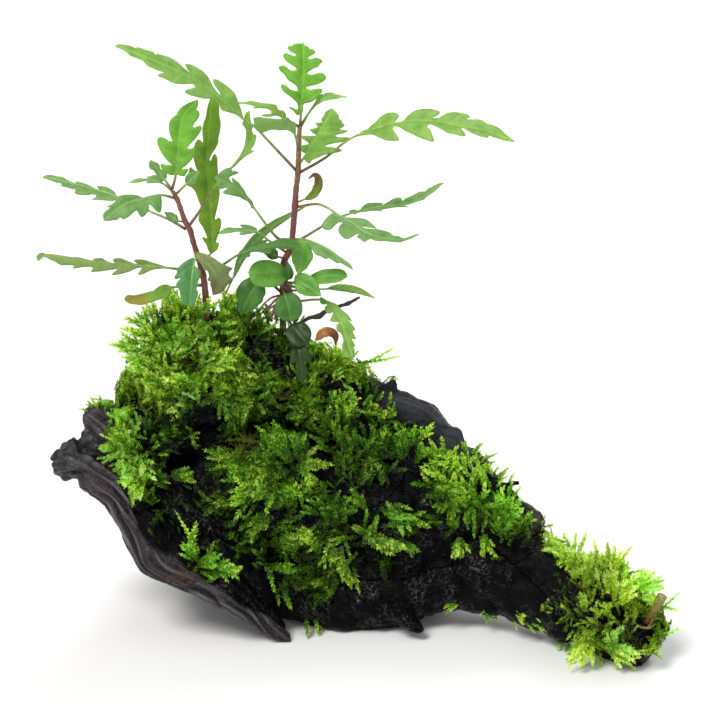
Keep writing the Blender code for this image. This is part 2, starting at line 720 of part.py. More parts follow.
def add_stems(form):
    """Stems down to the driftwood, and the bare twig."""
    tree = BVHTree.FromObject(form, bpy.context.evaluated_depsgraph_get())
    added = []
    for name, rows in STEMS.items():
        low = seen(*rows[-1][:3])
        hit = tree.ray_cast(low, Vector((0, 0, -1)))[0]
        last = hit + Vector((0, 0, 2.4 * MM))
        added.append(add(name, tube(name, rows, 1, last), "stem"))
    wood = swollen(form, GAP)
    for name, rows in TWIGS.items():
        twig = add(name, tube(name, rows, 1), "stem")
        combine(twig, wood, "DIFFERENCE")
        added.append(twig)
    return added


def main():
    for obj in list(bpy.data.objects):
        bpy.data.objects.remove(obj)
    form = driftwood_form()
    part_driftwood(form)
    plant = add_stems(form) + [add_leaf(leaf) for leaf in LEAVES]
    room = []
    for obj in plant:
        guide = add(obj.name + "_form", baked(obj))
        room.append(swollen(guide, GAP))
    moss(form, room)


if __name__ == "__main__":
    main()
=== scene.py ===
"""Looks of the hygrophila on driftwood: wet wood, feathery moss, stems and lobed leaves.

Frame: metres, +X to the right, +Y to the back, +Z up, origin on the ground under the middle.
Tables are in millimetres, as (right, up, back) seen from the front, like the source of the solids.
"""

import math
from collections import namedtuple

import bmesh
import bpy
import numpy as np
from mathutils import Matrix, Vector
from mathutils.bvhtree import BVHTree
from mathutils.geometry import delaunay_2d_cdt


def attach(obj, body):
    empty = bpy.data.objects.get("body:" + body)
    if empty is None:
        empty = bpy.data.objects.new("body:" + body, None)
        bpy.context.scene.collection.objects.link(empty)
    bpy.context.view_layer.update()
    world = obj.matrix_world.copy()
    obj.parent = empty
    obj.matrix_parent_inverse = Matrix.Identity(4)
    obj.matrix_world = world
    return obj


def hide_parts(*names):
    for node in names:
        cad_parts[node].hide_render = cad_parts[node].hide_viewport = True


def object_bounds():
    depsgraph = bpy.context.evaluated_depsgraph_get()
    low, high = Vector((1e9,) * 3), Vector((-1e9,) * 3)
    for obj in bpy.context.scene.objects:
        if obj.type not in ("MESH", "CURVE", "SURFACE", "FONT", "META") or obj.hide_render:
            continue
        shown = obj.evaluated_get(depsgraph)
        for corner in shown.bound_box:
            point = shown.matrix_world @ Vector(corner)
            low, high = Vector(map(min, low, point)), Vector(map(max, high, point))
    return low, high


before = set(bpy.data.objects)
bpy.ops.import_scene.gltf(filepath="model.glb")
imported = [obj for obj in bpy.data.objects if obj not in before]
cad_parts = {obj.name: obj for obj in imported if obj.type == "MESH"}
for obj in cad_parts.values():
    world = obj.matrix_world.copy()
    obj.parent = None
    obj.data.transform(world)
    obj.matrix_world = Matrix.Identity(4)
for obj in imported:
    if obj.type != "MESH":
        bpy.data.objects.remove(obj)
cad_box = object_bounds()

MM = 0.001

# The front view that the tables are given in; the camera stands there
VIEW_ELEVATION = math.radians(20)
SINE, COSINE = math.sin(VIEW_ELEVATION), math.cos(VIEW_ELEVATION)
VIEW_DISTANCE = 1200
VIEW_MIDDLE = Vector((0, 0, 120))
BOX_MIDDLE = Vector((0.2, 20.8, 0))
VIEW_WIDTH = 288
CAMERA_WAY = Vector((0, -COSINE, SINE))
CAMERA_PLACE = (VIEW_MIDDLE - BOX_MIDDLE + CAMERA_WAY * VIEW_DISTANCE) * MM
SEEN_RIGHT = np.array([1.0, 0, 0])
SEEN_UP = np.array([0, SINE, COSINE])
TOWARD_CAMERA = np.array([0, -COSINE, SINE])

# Curves: steps between two rows of a table, and the sides of tubes
LINE_STEPS = 12
STEM_SIDES = 14
THIN_SIDES = 8

# Wood, in mm
WOOD_INFLATE = 0.25
WOOD_VOXEL = 1.05
RIM_FOLD_WIDTH = 5.2
RIM_FOLD_HEIGHT = 2.5
FOLD_WIDTH = 6.4
FOLD_HEIGHT = 1.9
FOLD_MEAN = 0.6
CRACK_DEPTH = 2.2
GROOVE_DEPTH = 1.7
LIP_HEIGHT = 0.5
RIM_RIGHT_END = -24
# Wood, in metres: the broken knob lies left of its start, the front ahead of its depth, and the
# carving fades out towards the ground
KNOB_START = -0.106
KNOB_BLEND = 0.008
FRONT_DEPTH = 0.012
GROUND_BLEND = 0.004
# Wood without a unit: how a strand's share falls with distance, and how far back a front may face
STRAND_FALLOFF = 8
FRONT_NORMAL = 0.35
SOFTEN_ROUNDS = 9

# Moss, with lengths in mm
FROND_PAIRS = 11
SPRIG_PAIRS = 18
LEAFLET_ANGLE = math.radians(52)
LEAFLET_FOOT = 1.05
AXIS_HALF = 0.15
AXIS_PARTS = 3
CLUMP_SIZE = 9.5
TUFT_SIZE = 4.5
SLOPE_STEP = 0.8
LEAST_DEPTH = 2.4
MOST_INSET = 7
OUTLINE_REACH = 2.8
LOOSE_SHARE = 0.05

# Leaves and stems, with lengths in mm
LEAF_STEP = 0.85
LEAF_MARGIN = 0.35
LEAF_FOLD = 0.18
LEAF_THICK = 0.36
MARGIN_THICK = 0.14
LEAST_LOBE = 0.7
STALK_RADIUS = 0.55
STALK_STEPS = 40
STEM_TRIM = 0.6
STEM_STEPS = 160
ROOT_STEPS = 24
JOINT_SWELL = 0.12
JOINT_REACH = 1.2
STEM_END = 0.15
ROOT_END = 0.12

rng = np.random.default_rng(7)


# Tables


def tables_of(width, text):
    """Named tables: every name in TEXT is followed by its numbers, which make rows of WIDTH."""
    tables = {}
    for word in text.split():
        if word[0].isalpha():
            numbers = tables[word] = []
        else:
            numbers.append(float(word))
    for name, numbers in tables.items():
        tables[name] = [numbers[k : k + width] for k in range(0, len(numbers), width)]
    return tables


def rows_of(width, text):
    """The numbers of TEXT as rows of WIDTH."""
    return tables_of(width, "rows " + text)["rows"]


# Places


def seen(right, up, back):
    """The point, in metres, that is seen RIGHT and UP in the front view and lies BACK (all in mm)."""
    eye = VIEW_MIDDLE + VIEW_DISTANCE * CAMERA_WAY
    across, rise = right / VIEW_DISTANCE, up / VIEW_DISTANCE
    ray = Vector((across, COSINE + rise * SINE, rise * COSINE - SINE))
    return (eye + ray * ((back - eye.y) / ray.y) - BOX_MIDDLE) * MM


def front_view(places):
    """Where PLACES are seen in the front view, as (right, up) in mm."""
    eye = np.array(VIEW_MIDDLE) + VIEW_DISTANCE * TOWARD_CAMERA
    rays = places / MM + np.array(BOX_MIDDLE) - eye
    far = rays @ -TOWARD_CAMERA
    return VIEW_DISTANCE * np.stack([rays[:, 0] / far, rays @ SEEN_UP / far], axis=1)


def curved(a, b, c, d, t):
    """The point at share T between B and C of the smooth curve through A, B, C and D."""
    turn = (2 * a - 5 * b + 4 * c - d) * t**2 + (3 * b - a - 3 * c + d) * t**3
    return 0.5 * (2 * b + (c - a) * t + turn)


def smooth_line(rows):
    """A smooth curve through the (right, up, back) of ROWS: its steps and the distance along it at each."""
    points = [seen(*row[:3]) for row in rows]
    ends = [2 * points[0] - points[1], *points, 2 * points[-1] - points[-2]]
    dense = [curved(*four, k / LINE_STEPS) for four in zip(ends, ends[1:], ends[2:], ends[3:])
             for k in range(LINE_STEPS)]
    dense = np.array([*dense, points[-1]])
    reach = np.concatenate([[0], np.cumsum(np.linalg.norm(np.diff(dense, axis=0), axis=1))])
    return dense, reach


def radii_along(rows, reach, distances):
    """The radius, in the last column of ROWS, at DISTANCES along the smooth curve through them."""
    return np.interp(distances, reach[::LINE_STEPS][: len(rows)], [row[3] for row in rows])


def along(line, distances):
    """Places and directions at DISTANCES along a smooth line."""
    dense, reach = line
    places = np.stack([np.interp(distances, reach, dense[:, k]) for k in range(3)], axis=1)
    slopes = np.gradient(dense, reach, axis=0)
    directions = np.stack([np.interp(distances, reach, slopes[:, k]) for k in range(3)], axis=1)
    return places, unit(directions)


def unit(vectors):
    """Each row of VECTORS at length one."""
    return vectors / np.maximum(np.linalg.norm(vectors, axis=-1, keepdims=True), 1e-12)


def noise(places, size, seed):
    """Smooth noise from -1 to 1 at PLACES (rows, in metres), with features of SIZE millimetres."""
    spots = places / (np.asarray(size) * MM) + 1000
    low = np.floor(spots).astype(np.int64)
    share = spots - low
    share = share * share * (3 - 2 * share)
    total = np.zeros(len(places))
    for corner in np.ndindex(2, 2, 2):
        corner = np.array(corner)
        cell = low + corner
        mixed = cell[:, 0] * 374761393 + cell[:, 1] * 668265263 + cell[:, 2] * 1440670441 + seed * 97531
        mixed = (mixed ^ (mixed >> 13)) * 1274126177 & 0xFFFFFFFF
        value = ((mixed ^ (mixed >> 16)) & 0xFFFFFF) / 0x7FFFFF - 1
        total += value * np.prod(np.where(corner, share, 1 - share), axis=1)
    return total


def in_oval(spots, right, up, half_width, half_height):
    """How much SPOTS of the front view lie in an oval: 1 in its inner half, 0 well outside."""
    gap = np.hypot((spots[:, 0] - right) / half_width, (spots[:, 1] - up) / half_height)
    return np.clip(1.6 - 1.2 * gap, 0, 1)


# Meshes


def float_attributes(mesh, attributes):
    """Adds float ATTRIBUTES at the points of MESH."""
    for key, values in attributes.items():
        layer = mesh.attributes.new(key, "FLOAT", "POINT")
        layer.data.foreach_set("value", np.asarray(values, np.float32))


def new_object(name, verts, faces, material, attributes, smooth=True):
    """A mesh object from arrays of VERTS and FACES, with float ATTRIBUTES at its points."""
    mesh = bpy.data.meshes.new(name)
    mesh.vertices.add(len(verts))
    mesh.vertices.foreach_set("co", np.asarray(verts, np.float32).ravel())
    corners = faces.shape[1]
    mesh.loops.add(faces.size)
    mesh.loops.foreach_set("vertex_index", faces.astype(np.int32).ravel())
    mesh.polygons.add(len(faces))
    mesh.polygons.foreach_set("loop_start", np.arange(0, faces.size, corners, dtype=np.int32))
    mesh.polygons.foreach_set("use_smooth", np.full(len(faces), smooth))
    mesh.update(calc_edges=True)
    float_attributes(mesh, attributes)
    mesh.materials.append(material)
    mesh.validate()
    return linked(name, mesh)


def linked(name, data):
    """A new object of the scene that shows DATA."""
    obj = bpy.data.objects.new(name, data)
    bpy.context.scene.collection.objects.link(obj)
    return obj


def stand_for(obj, slot, *nodes):
    """OBJ is shown in place of these solids."""
    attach(obj, "root")
    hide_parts(*nodes)


def vectors_of(data, key):
    """The vectors named KEY of all of DATA, as rows."""
    values = np.empty(len(data) * 3, np.float32)
    data.foreach_get(key, values)
    return values.reshape(-1, 3).astype(float)


def split(quads):
    """Each four-cornered face as two triangles."""
    return np.concatenate([quads[:, [0, 1, 2]], quads[:, [0, 2, 3]]])


def tube(line, distances, radii, sides):
    """Points and triangles of a round tube along a smooth line, closed at both ends."""
    places, directions = along(line, distances)
    side = unit(np.cross(directions, np.array([0.3, 1, 0.2])))
    up = np.cross(side, directions)
    turns = np.linspace(0, 2 * np.pi, sides, endpoint=False)
    ring = side[:, None] * np.cos(turns)[None, :, None] + up[:, None] * np.sin(turns)[None, :, None]
    verts = (places[:, None] + ring * np.asarray(radii)[:, None, None]).reshape(-1, 3)
    spoke = np.arange(sides)
    after = (spoke + 1) % sides
    rows = np.arange(len(distances) - 1)[:, None] * sides
    quads = np.stack([rows + spoke, rows + sides + spoke, rows + sides + after, rows + after], axis=-1)
    last = len(verts)
    low = np.stack([np.full(sides, last), spoke, after], axis=1)
    top = (len(distances) - 1) * sides
    high = np.stack([np.full(sides, last + 1), top + after, top + spoke], axis=1)
    verts = np.concatenate([verts, places[[0, -1]]])
    return verts, np.concatenate([split(quads.reshape(-1, 4)), low, high])


# Materials


class Shader:
    """A new material with its node tree, and short calls to add and join nodes."""

    def __init__(self, name):
        self.material = bpy.data.materials.new(name)
        self.material.use_nodes = True
        self.tree = self.material.node_tree
        self.main = self.tree.nodes["Principled BSDF"]
        self.out = self.tree.nodes["Material Output"]

    def put(self, socket, value):
        """Joins an output to SOCKET, or sets a value there."""
        if isinstance(value, bpy.types.NodeSocket):
            self.tree.links.new(value, socket)
        else:
            socket.default_value = value

    def finish(self, **inputs):
        """Sets or joins inputs of the main shader."""
        for key, value in inputs.items():
            self.put(self.main.inputs[key.replace("_", " ")], value)

    def node(self, kind, settings=None, **inputs):
        """Adds a node; inputs are values, or outputs to join."""
        added = self.tree.nodes.new("ShaderNode" + kind)
        for key, value in (settings or {}).items():
            setattr(added, key, value)
        for key, value in inputs.items():
            self.put(added.inputs[key], value)
        return added

    def attribute(self, name, output="Fac"):
        return self.node("Attribute", {"attribute_name": name}).outputs[output]

    def noise(self, scale, detail=3, vector=None):
        vector = vector or self.node("TexCoord").outputs["Object"]
        return self.node("TexNoise", Scale=scale, Detail=detail, Vector=vector).outputs["Fac"]

    def ramp(self, value, *stops):
        """A colour ramp: STOPS are (place, colour or grey level)."""
        added = self.node("ValToRGB", Fac=value)
        ramp = added.color_ramp
        while len(ramp.elements) < len(stops):
            ramp.elements.new(0.5)
        for element, (place, colour) in zip(ramp.elements, stops):
            element.position = place
            grey = not hasattr(colour, "__len__")
            element.color = (colour, colour, colour, 1) if grey else (*colour, 1)
        return added.outputs["Color"]

    def math(self, operation, *values):
        added = self.node("Math", {"operation": operation})
        for socket, value in zip(added.inputs, values):
            self.put(socket, value)
        return added.outputs["Value"]

    def times(self, one, other):
        return self.math("MULTIPLY", one, other)

    def mix(self, share, one, other, blend="MIX"):
        """Mixes two colours."""
        added = self.node("Mix", {"data_type": "RGBA", "blend_type": blend})
        self.put(added.inputs[0], share)
        for socket, value in ((added.inputs[6], one), (added.inputs[7], other)):
            self.put(socket, value if isinstance(value, bpy.types.NodeSocket) else (*value, 1))
        return added.outputs[2]

    def product(self, one, other):
        """Multiplies two colours."""
        return self.mix(1.0, one, other, "MULTIPLY")

    def bump(self, height, distance, strength, **normal):
        added = self.node("Bump", Height=height, Distance=distance, Strength=strength, **normal)
        return added.outputs["Normal"]

    def translucent(self, colour, share):
        """Lets light through: mixes a translucent shader into the main one."""
        through = self.node("BsdfTranslucent", Color=colour)
        both = self.node("MixShader")
        both.inputs[0].default_value = share
        self.tree.links.new(self.main.outputs[0], both.inputs[1])
        self.tree.links.new(through.outputs[0], both.inputs[2])
        self.tree.links.new(both.outputs[0], self.out.inputs["Surface"])


def wood_material():
    """Near-black wet wood: greyer, purplish and grained on the rim, rough with small glints elsewhere."""
    s = Shader("wet_driftwood")
    rim = s.attribute("rim")
    streaks = s.noise(1.0, 4, s.attribute("grain", "Vector"))
    dark = s.ramp(s.noise(150, 4), (0.35, (0.0005, 0.0005, 0.0006)), (0.75, (0.0022, 0.0021, 0.0028)))
    grey = (0.0165, 0.0137, 0.0158)
    pale = s.ramp(streaks, (0.36, (0.0035, 0.0026, 0.0031)), (0.5, grey), (0.66, (0.062, 0.053, 0.060)))
    # painted shade in the grooves and painted light on the crests of folds, crags and lip, from their height
    fold_shade = s.ramp(s.attribute("ridge"), (0.25, 0.16), (0.8, 2.1))
    colour = s.product(s.mix(rim, dark, pale), fold_shade)
    # grey of the broken knob, under a mask that grows on upward faces: partly its own grey, partly painted
    # light on its top
    knob_grey = s.ramp(s.noise(380, 4), (0.35, (0.008, 0.008, 0.009)), (0.65, (0.052, 0.052, 0.053)))
    worn = s.ramp(streaks, (0.4, 0.25), (0.6, 1.0))
    # a streak of painted bluish sheen along the flat upper wood
    sheen_streak = s.ramp(streaks, (0.36, (0.016, 0.018, 0.022)), (0.6, (0.032, 0.036, 0.045)))
    for mask, share, tint in (
        ("plum", 0.8, (0.022, 0.0125, 0.0150)), ("knob_grey_and_top_light", 0.85, knob_grey),
        ("rust", worn, (0.060, 0.030, 0.014)), ("sheen_streak", 0.9, sheen_streak),
    ):
        colour = s.mix(s.times(s.attribute(mask), share), colour, tint)
    curls = s.ramp(s.noise(430, 2), (0.46, 0.0), (0.5, 1.0), (0.54, 0.0))
    curls = s.times(curls, s.ramp(s.noise(75, 3), (0.47, 0.0), (0.6, 0.7)))
    wet = s.times(curls, s.math("SUBTRACT", 1.0, s.math("MAXIMUM", rim, s.attribute("calm"))))
    fine = s.bump(s.noise(1100, 5), 0.0005, 0.8)
    crumbs = s.bump(s.noise(420, 4), 0.0009, 0.8, Normal=fine)
    s.finish(
        Base_Color=colour,
        Specular_IOR_Level=s.math("ADD", s.times(rim, 0.2), s.math("ADD", 0.05, wet)),
        Roughness=s.ramp(s.noise(520, 3), (0.4, 0.2), (0.65, 0.5)),
        Normal=s.bump(streaks, 0.0008, 0.9, Normal=crumbs),
    )
    return s.material


def moss_material(name, deep, mid, tip):
    """Feathery moss: painted shade deep inside, bright at its tips, with light coming through; its "tone"
    also carries painted light and shade.
    """
    s = Shader(name)
    tint = s.attribute("tint")
    colour = s.ramp(s.attribute("tone"), (0.06, deep), (0.5, mid), (1.0, tip))
    cool = s.product(colour, (0.55, 0.9, 0.9))
    colour = s.mix(s.ramp(tint, (0.0, 0.85), (0.5, 0.0)), colour, cool)
    colour = s.mix(s.ramp(tint, (0.93, 0.0), (1.0, 0.6)), colour, (0.12, 0.09, 0.02))
    colour = s.product(colour, s.ramp(s.noise(60, 3), (0.3, 0.72), (0.7, 1.2)))
    s.finish(Base_Color=colour, Roughness=0.45, Specular_IOR_Level=0.18)
    s.translucent(s.product(colour, (1.2, 1.2, 0.4)), 0.45)
    return s.material


def leaf_material(name, base, light, back, old=None):
    """A leaf: paler midrib and side veins, soft mottling, a greyer underside, light coming through."""
    s = Shader(name)
    side_vein = s.ramp(s.attribute("vein"), (0.0, 1.0), (0.28, 0.0))
    midrib = s.ramp(s.attribute("rib"), (0.25, 1.0), (0.6, 0.0))
    mottle = s.noise(220, 4)
    blade = s.mix(s.ramp(mottle, (0.3, 0.0), (0.7, 1.0)), base, light)
    margin = s.ramp(s.times(s.attribute("edge"), 0.4), (0.0, 0.5), (1.0, 0.0))
    blade = s.mix(margin, blade, light)
    blade = s.mix(s.times(side_vein, 0.24), blade, [min(1, 1.5 * c + 0.02) for c in light])
    blade = s.mix(s.times(midrib, 0.36), blade, [min(1, 1.6 * c) for c in light])
    if old:
        reached = s.math("ADD", s.times(s.attribute("share"), 0.5), s.times(s.noise(120, 4), 0.5))
        blade = s.mix(s.ramp(reached, (0.46, 0.0), (0.62, 1.0)), blade, old)
    blade = s.mix(s.attribute("under"), blade, s.mix(0.6, blade, back))
    s.finish(
        Base_Color=blade,
        Roughness=s.ramp(mottle, (0.3, 0.38), (0.7, 0.52)),
        Specular_IOR_Level=0.35,
        Normal=s.bump(s.noise(1300, 3), 0.0002, 0.5),
    )
    s.translucent(s.product(blade, (1.35, 1.5, 0.5)), 0.42)
    return s.material


def stem_material(name, low, high):
    """A fleshy stem: redder where "tone" is low, greener where it is high, faintly streaked."""
    s = Shader(name)
    colour = s.mix(s.attribute("tone"), low, high)
    streak = s.ramp(s.noise(500, 3), (0.3, 0.65), (0.7, 1.25))
    grain = s.bump(s.noise(1400, 3), 0.0002, 0.6)
    s.finish(Base_Color=s.product(colour, streak), Roughness=0.42, Normal=grain)
    return s.material


def floor_material():
    s = Shader("pale_floor")
    s.finish(Base_Color=s.ramp(s.noise(3, 2), (0.0, 0.70), (1.0, 0.73)), Roughness=0.9)
    return s.material


# Driftwood

WOOD_NODES = (
    "driftwood_body", "driftwood_front_root", "driftwood_left_end", "driftwood_rear_foot", "driftwood_tail",
)
# Strands of root, as (right, up, back, radius) from end to end; the first is the smooth pale rim
STRANDS = tables_of(4, """
    left_rim  -120 -37 14 6  -111 -42 8 9  -99 -52 2 9  -88 -63 -3 8  -78 -78 -6 8  -65 -86 -8 7.5
        -46 -97 -9 7  -38 -105 -8 5  -29 -112 -7 3.5
    left_shoulder  -108 -30 18 8  -96 -32 20 13  -80 -24 26 18  -60 -12 30 22
    left_wall  -96 -42 26 12  -80 -58 22 18  -62 -74 16 18  -46 -86 10 15
    upper_ridge  -72 -8 30 18  -50 -4 32 18  -26 -8 34 15  -4 -16 34 13  16 -26 34 12  30 -36 32 11
    heart  -66 -38 36 30  -44 -50 36 36  -16 -62 34 36  14 -66 32 32  40 -66 28 24
    lower_front  -46 -84 16 16  -24 -90 13 16  -4 -94 10 15.5  16 -92 12 15  40 -84 14 14  60 -86 8 15
    shoulder  20 -34 30 12  38 -46 24 14  54 -62 14 13  66 -74 4 12
    tail  48 -78 16 18  70 -88 2 16  90 -97 -12 14  104 -107 -22 12  111 -114 -28 11  117 -117 -30 8
    rear_left_root  -56 -44 44 26  -68 -66 62 18  -76 -82 78 12
    rear_middle_root  -20 -50 44 28  -16 -68 62 17  -10 -80 74 10
    rear_right_root  20 -64 40 24  38 -76 50 14  50 -86 58 9
""")
RIM = list(STRANDS).index("left_rim")
# The edge between the smooth rim and the dark hollow behind it, as (right, up) in the front view
RIM_EDGE = rows_of(2, """
    -104 -40.8  -94.4 -48  -91.6 -57.6  -88.4 -68  -82.4 -74.4  -74 -78.4  -63.6 -86.8  -55.2 -92.8
    -46.8 -99.2  -36.4 -102.4  -30.4 -107.6  -24 -114
""")
# Bulges and dents of the outline: middle (right, up) in the front view, reach, move (right, up)
PUSHES = rows_of(5, """
    -120 -41.2 5.6 -2.4 -0.4  -114.4 -48 2.8 2 1.6  -102.4 -58.4 5.6 2.4 0.8  -85.6 -82.4 8.8 -3.2 -3.6
    -92 -72 5.6 -0.8 -0.8  -72 -92 8 -0.4 -1.6  -30.8 -112.4 5.6 3.2 -1.2  34 -18 4.8 1.2 1.6
    40.8 -28.8 3.6 2 1.2  42.4 -34.8 3.2 -1.6 -1.6  72 -62.4 4 1.6 1.2  16 -15.2 4 -0.8 -1.6  68 -104 8 0 -4
    80 -110.4 7.2 -0.8 -4  94 -118.4 7.2 0 -3.2  52 -98.8 6 0 -3.6  60 -100.8 5 0 -1.2  28 -22 8 0.6 4.4
    38.4 -29.6 5 0.4 3.2  18 -15.2 5 0.2 2.4  -107.2 -22.4 5.6 -2.4 2.4  -112.4 -30.4 4.4 -2.4 1.6
    -123.6 -39.6 2.4 -2.2 0  -122.8 -35.6 2.4 1.8 -1.2  -100.8 -19.2 4 0 2.8
""")
# Splinters that stand off the wood, as (right, up, back, radius) from foot to tip
SPLINTERS = tables_of(4, """
    ridge  12.2 -18 34 4  12.8 -12 33.5 3.2  13.2 -7.4 33 1.8
    shoulder  52 -51 18 2.6  58.6 -49.6 15 1.5  63.6 -49 13 0.7
    knob  -98 -32 18 7  -103.5 -26.5 17 6.4  -106.4 -21.6 16 4.4
    underside  14 -98 -2 4  20 -104.5 -6 2.8  24.4 -108 -8 1
    left_end  -108 -42 8 5  -115 -38 7 5.5  -121 -40 7 4.5
""")
# Parts of the wood with looks of their own: middle (right, up) in the front view, half width and height
FLANK = (-105.5, -28, 8, 9)
CALM = (30, -24, 14, 14)
CRACK = (-110.4, -34.4, 1.5, 5)
HOLLOW = (17, -49, 9, 10)
PLUM = (-106, -51, 7, 8)
RUST = ((-70.8, -85.2, 6, 2.6), (-29, -113, 2.5, 3))
# The streak of painted bluish sheen on the flat upper wood: its start (right, up), its run (right, down) and
# its half width
SHEEN_START = (14, -14)
SHEEN_RUN = (30, 22)
SHEEN_HALF = 5.5


def remeshed_wood():
    """The driftwood's solids and splinters as one fine mesh without their gaps."""
    joined = bmesh.new()
    for node in WOOD_NODES:
        joined.from_mesh(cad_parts[node].data)
    bmesh.ops.remove_doubles(joined, verts=joined.verts, dist=1e-6)
    for rows in SPLINTERS.values():
        line = smooth_line(rows)
        radii = np.interp(np.linspace(0, 1, 8), np.linspace(0, 1, len(rows)), [row[3] for row in rows])
        points, corners = tube(line, np.linspace(0, line[1][-1], 8), radii * MM, THIN_SIDES)
        added = [joined.verts.new(point) for point in points]
        for corner in corners:
            joined.faces.new([added[k] for k in corner])
    mesh = bpy.data.meshes.new("driftwood")
    joined.to_mesh(mesh)
    joined.free()
    obj = linked("driftwood", mesh)
    grow = obj.modifiers.new("grow", "DISPLACE")
    grow.mid_level = 0
    grow.strength = WOOD_INFLATE * MM
    fuse = obj.modifiers.new("fuse", "REMESH")
    fuse.mode = "VOXEL"
    fuse.voxel_size = WOOD_VOXEL * MM
    soften = obj.modifiers.new("soften", "SMOOTH")
    soften.iterations = SOFTEN_ROUNDS
    bpy.context.view_layer.update()
    graph = bpy.context.evaluated_depsgraph_get()
    fine = bpy.data.meshes.new_from_object(obj.evaluated_get(graph))
    obj.modifiers.clear()
    obj.data = fine
    return obj


def strand_coordinates(places):
    """For each place and strand: nearness, (along, around, out) in mm, and the strand's direction."""
    nearness, coordinates, directions = [], [], []
    for rows in STRANDS.values():
        dense, reach = smooth_line(rows)
        radii = radii_along(rows, reach, reach) * MM
        slopes = unit(np.gradient(dense, reach, axis=0))
        best = np.concatenate([
            np.argmin(np.linalg.norm(part[:, None] - dense[None], axis=2) / radii[None], axis=1)
            for part in np.array_split(places, 1 + len(places) // 10000)
        ])
        offset = places - dense[best]
        direction = slopes[best]
        offset -= direction * np.sum(offset * direction, axis=1, keepdims=True)
        side = unit(np.cross(direction, np.array([0.1, 1, 0.2])))
        up = np.cross(side, direction)
        angle = np.arctan2(np.sum(offset * up, axis=1), np.sum(offset * side, axis=1))
        out = np.linalg.norm(offset, axis=1)
        nearness.append(out / radii[best])
        coordinates.append(np.stack([reach[best] / MM, angle * radii[best] / MM, out / MM], axis=1))
        directions.append(direction)
    return np.array(nearness), np.array(coordinates), np.array(directions)


def past_edge(spots):
    """How far SPOTS of the front view lie on the rim's side of its edge, in mm, and below 0 in the hollow."""
    corners = np.array(RIM_EDGE)
    starts, spans = corners[:-1], np.diff(corners, axis=0)
    share = np.clip(np.sum((spots[:, None] - starts) * spans, axis=2) / np.sum(spans**2, axis=1), 0, 1)
    gaps = spots[:, None] - starts - spans * share[..., None]
    nearest = np.argmin(np.linalg.norm(gaps, axis=2), axis=1)
    gap = gaps[np.arange(len(spots)), nearest]
    span = spans[nearest]
    return -np.sign(span[:, 0] * gap[:, 1] - span[:, 1] * gap[:, 0]) * np.linalg.norm(gap, axis=1)


def patch(spots, right, up, half_width, half_height):
    """A soft patch of the front view, 1 in its middle."""
    return np.exp(-(((spots[:, 0] - right) / half_width) ** 2) - ((spots[:, 1] - up) / half_height) ** 2)


def folded(across, width, wander):
    """Long folds WIDTH mm wide, from 0 in their bottoms to 1 on their crests."""
    return np.abs(np.sin(np.pi * across / width + wander))


def wood_ridges(weight, coordinates, behind, ends, across):
    """The height of grain and folds along the strands."""
    ridge = np.zeros(weight.shape[1])
    for k, (share, place) in enumerate(zip(weight, coordinates)):
        spots = place * np.array([0.09, 1.0, 0.15]) * MM
        wave = noise(spots, 2.6, 11 + k) * 0.6 + noise(spots, 1.4, 31 + k) * 0.25
        wave += noise(spots, 6.0, 51 + k) * 0.6
        ridge += share * wave
        lengthwise = place * np.array([1, 0, 0]) * MM
        if k == RIM:
            sway = 2.2 * noise(lengthwise, 14, 71 + k)
            fold = folded(place[:, 1] + sway, RIM_FOLD_WIDTH, 0.8 * wave)
            ridge += share * RIM_FOLD_HEIGHT * (fold - FOLD_MEAN)
        else:
            sway = 3.0 * noise(lengthwise, 18, 91 + k)
            fold = folded(place[:, 1] + sway, FOLD_WIDTH, 0.9 * wave)
            fold += ends[k] * (folded(across, FOLD_WIDTH, 0.9 * wave) - fold)
            ridge += share * behind * FOLD_HEIGHT * (fold - FOLD_MEAN)
    return ridge


def add_grain(mesh, places, across, nearness, coordinates, ends):
    """Gives the wood its place along and around the nearest strand, for the grain of its material."""
    every = np.arange(len(places))
    best = np.argmin(nearness, axis=0)
    grain = coordinates[best, every]
    carried_on = np.stack([places[:, 0] / MM, across, places[:, 1] / MM], axis=1)
    grain += ends[best, every][:, None] * (carried_on - grain)
    grain *= np.array([0.035, 0.75, 0.2])
    layer = mesh.attributes.new("grain", "FLOAT_VECTOR", "POINT")
    layer.data.foreach_set("vector", (grain + best[:, None] * 7.3).astype(np.float32).ravel())


def sheen_gap(spots):
    """How far SPOTS of the front view lie from the middle line of the streak of painted sheen, in mm."""
    right, up = spots[:, 0] - SHEEN_START[0], spots[:, 1] - SHEEN_START[1]
    run, fall = SHEEN_RUN
    share = np.clip((right * run - up * fall) / (run**2 + fall**2), 0, 1)
    return np.hypot(right - run * share, up + fall * share)


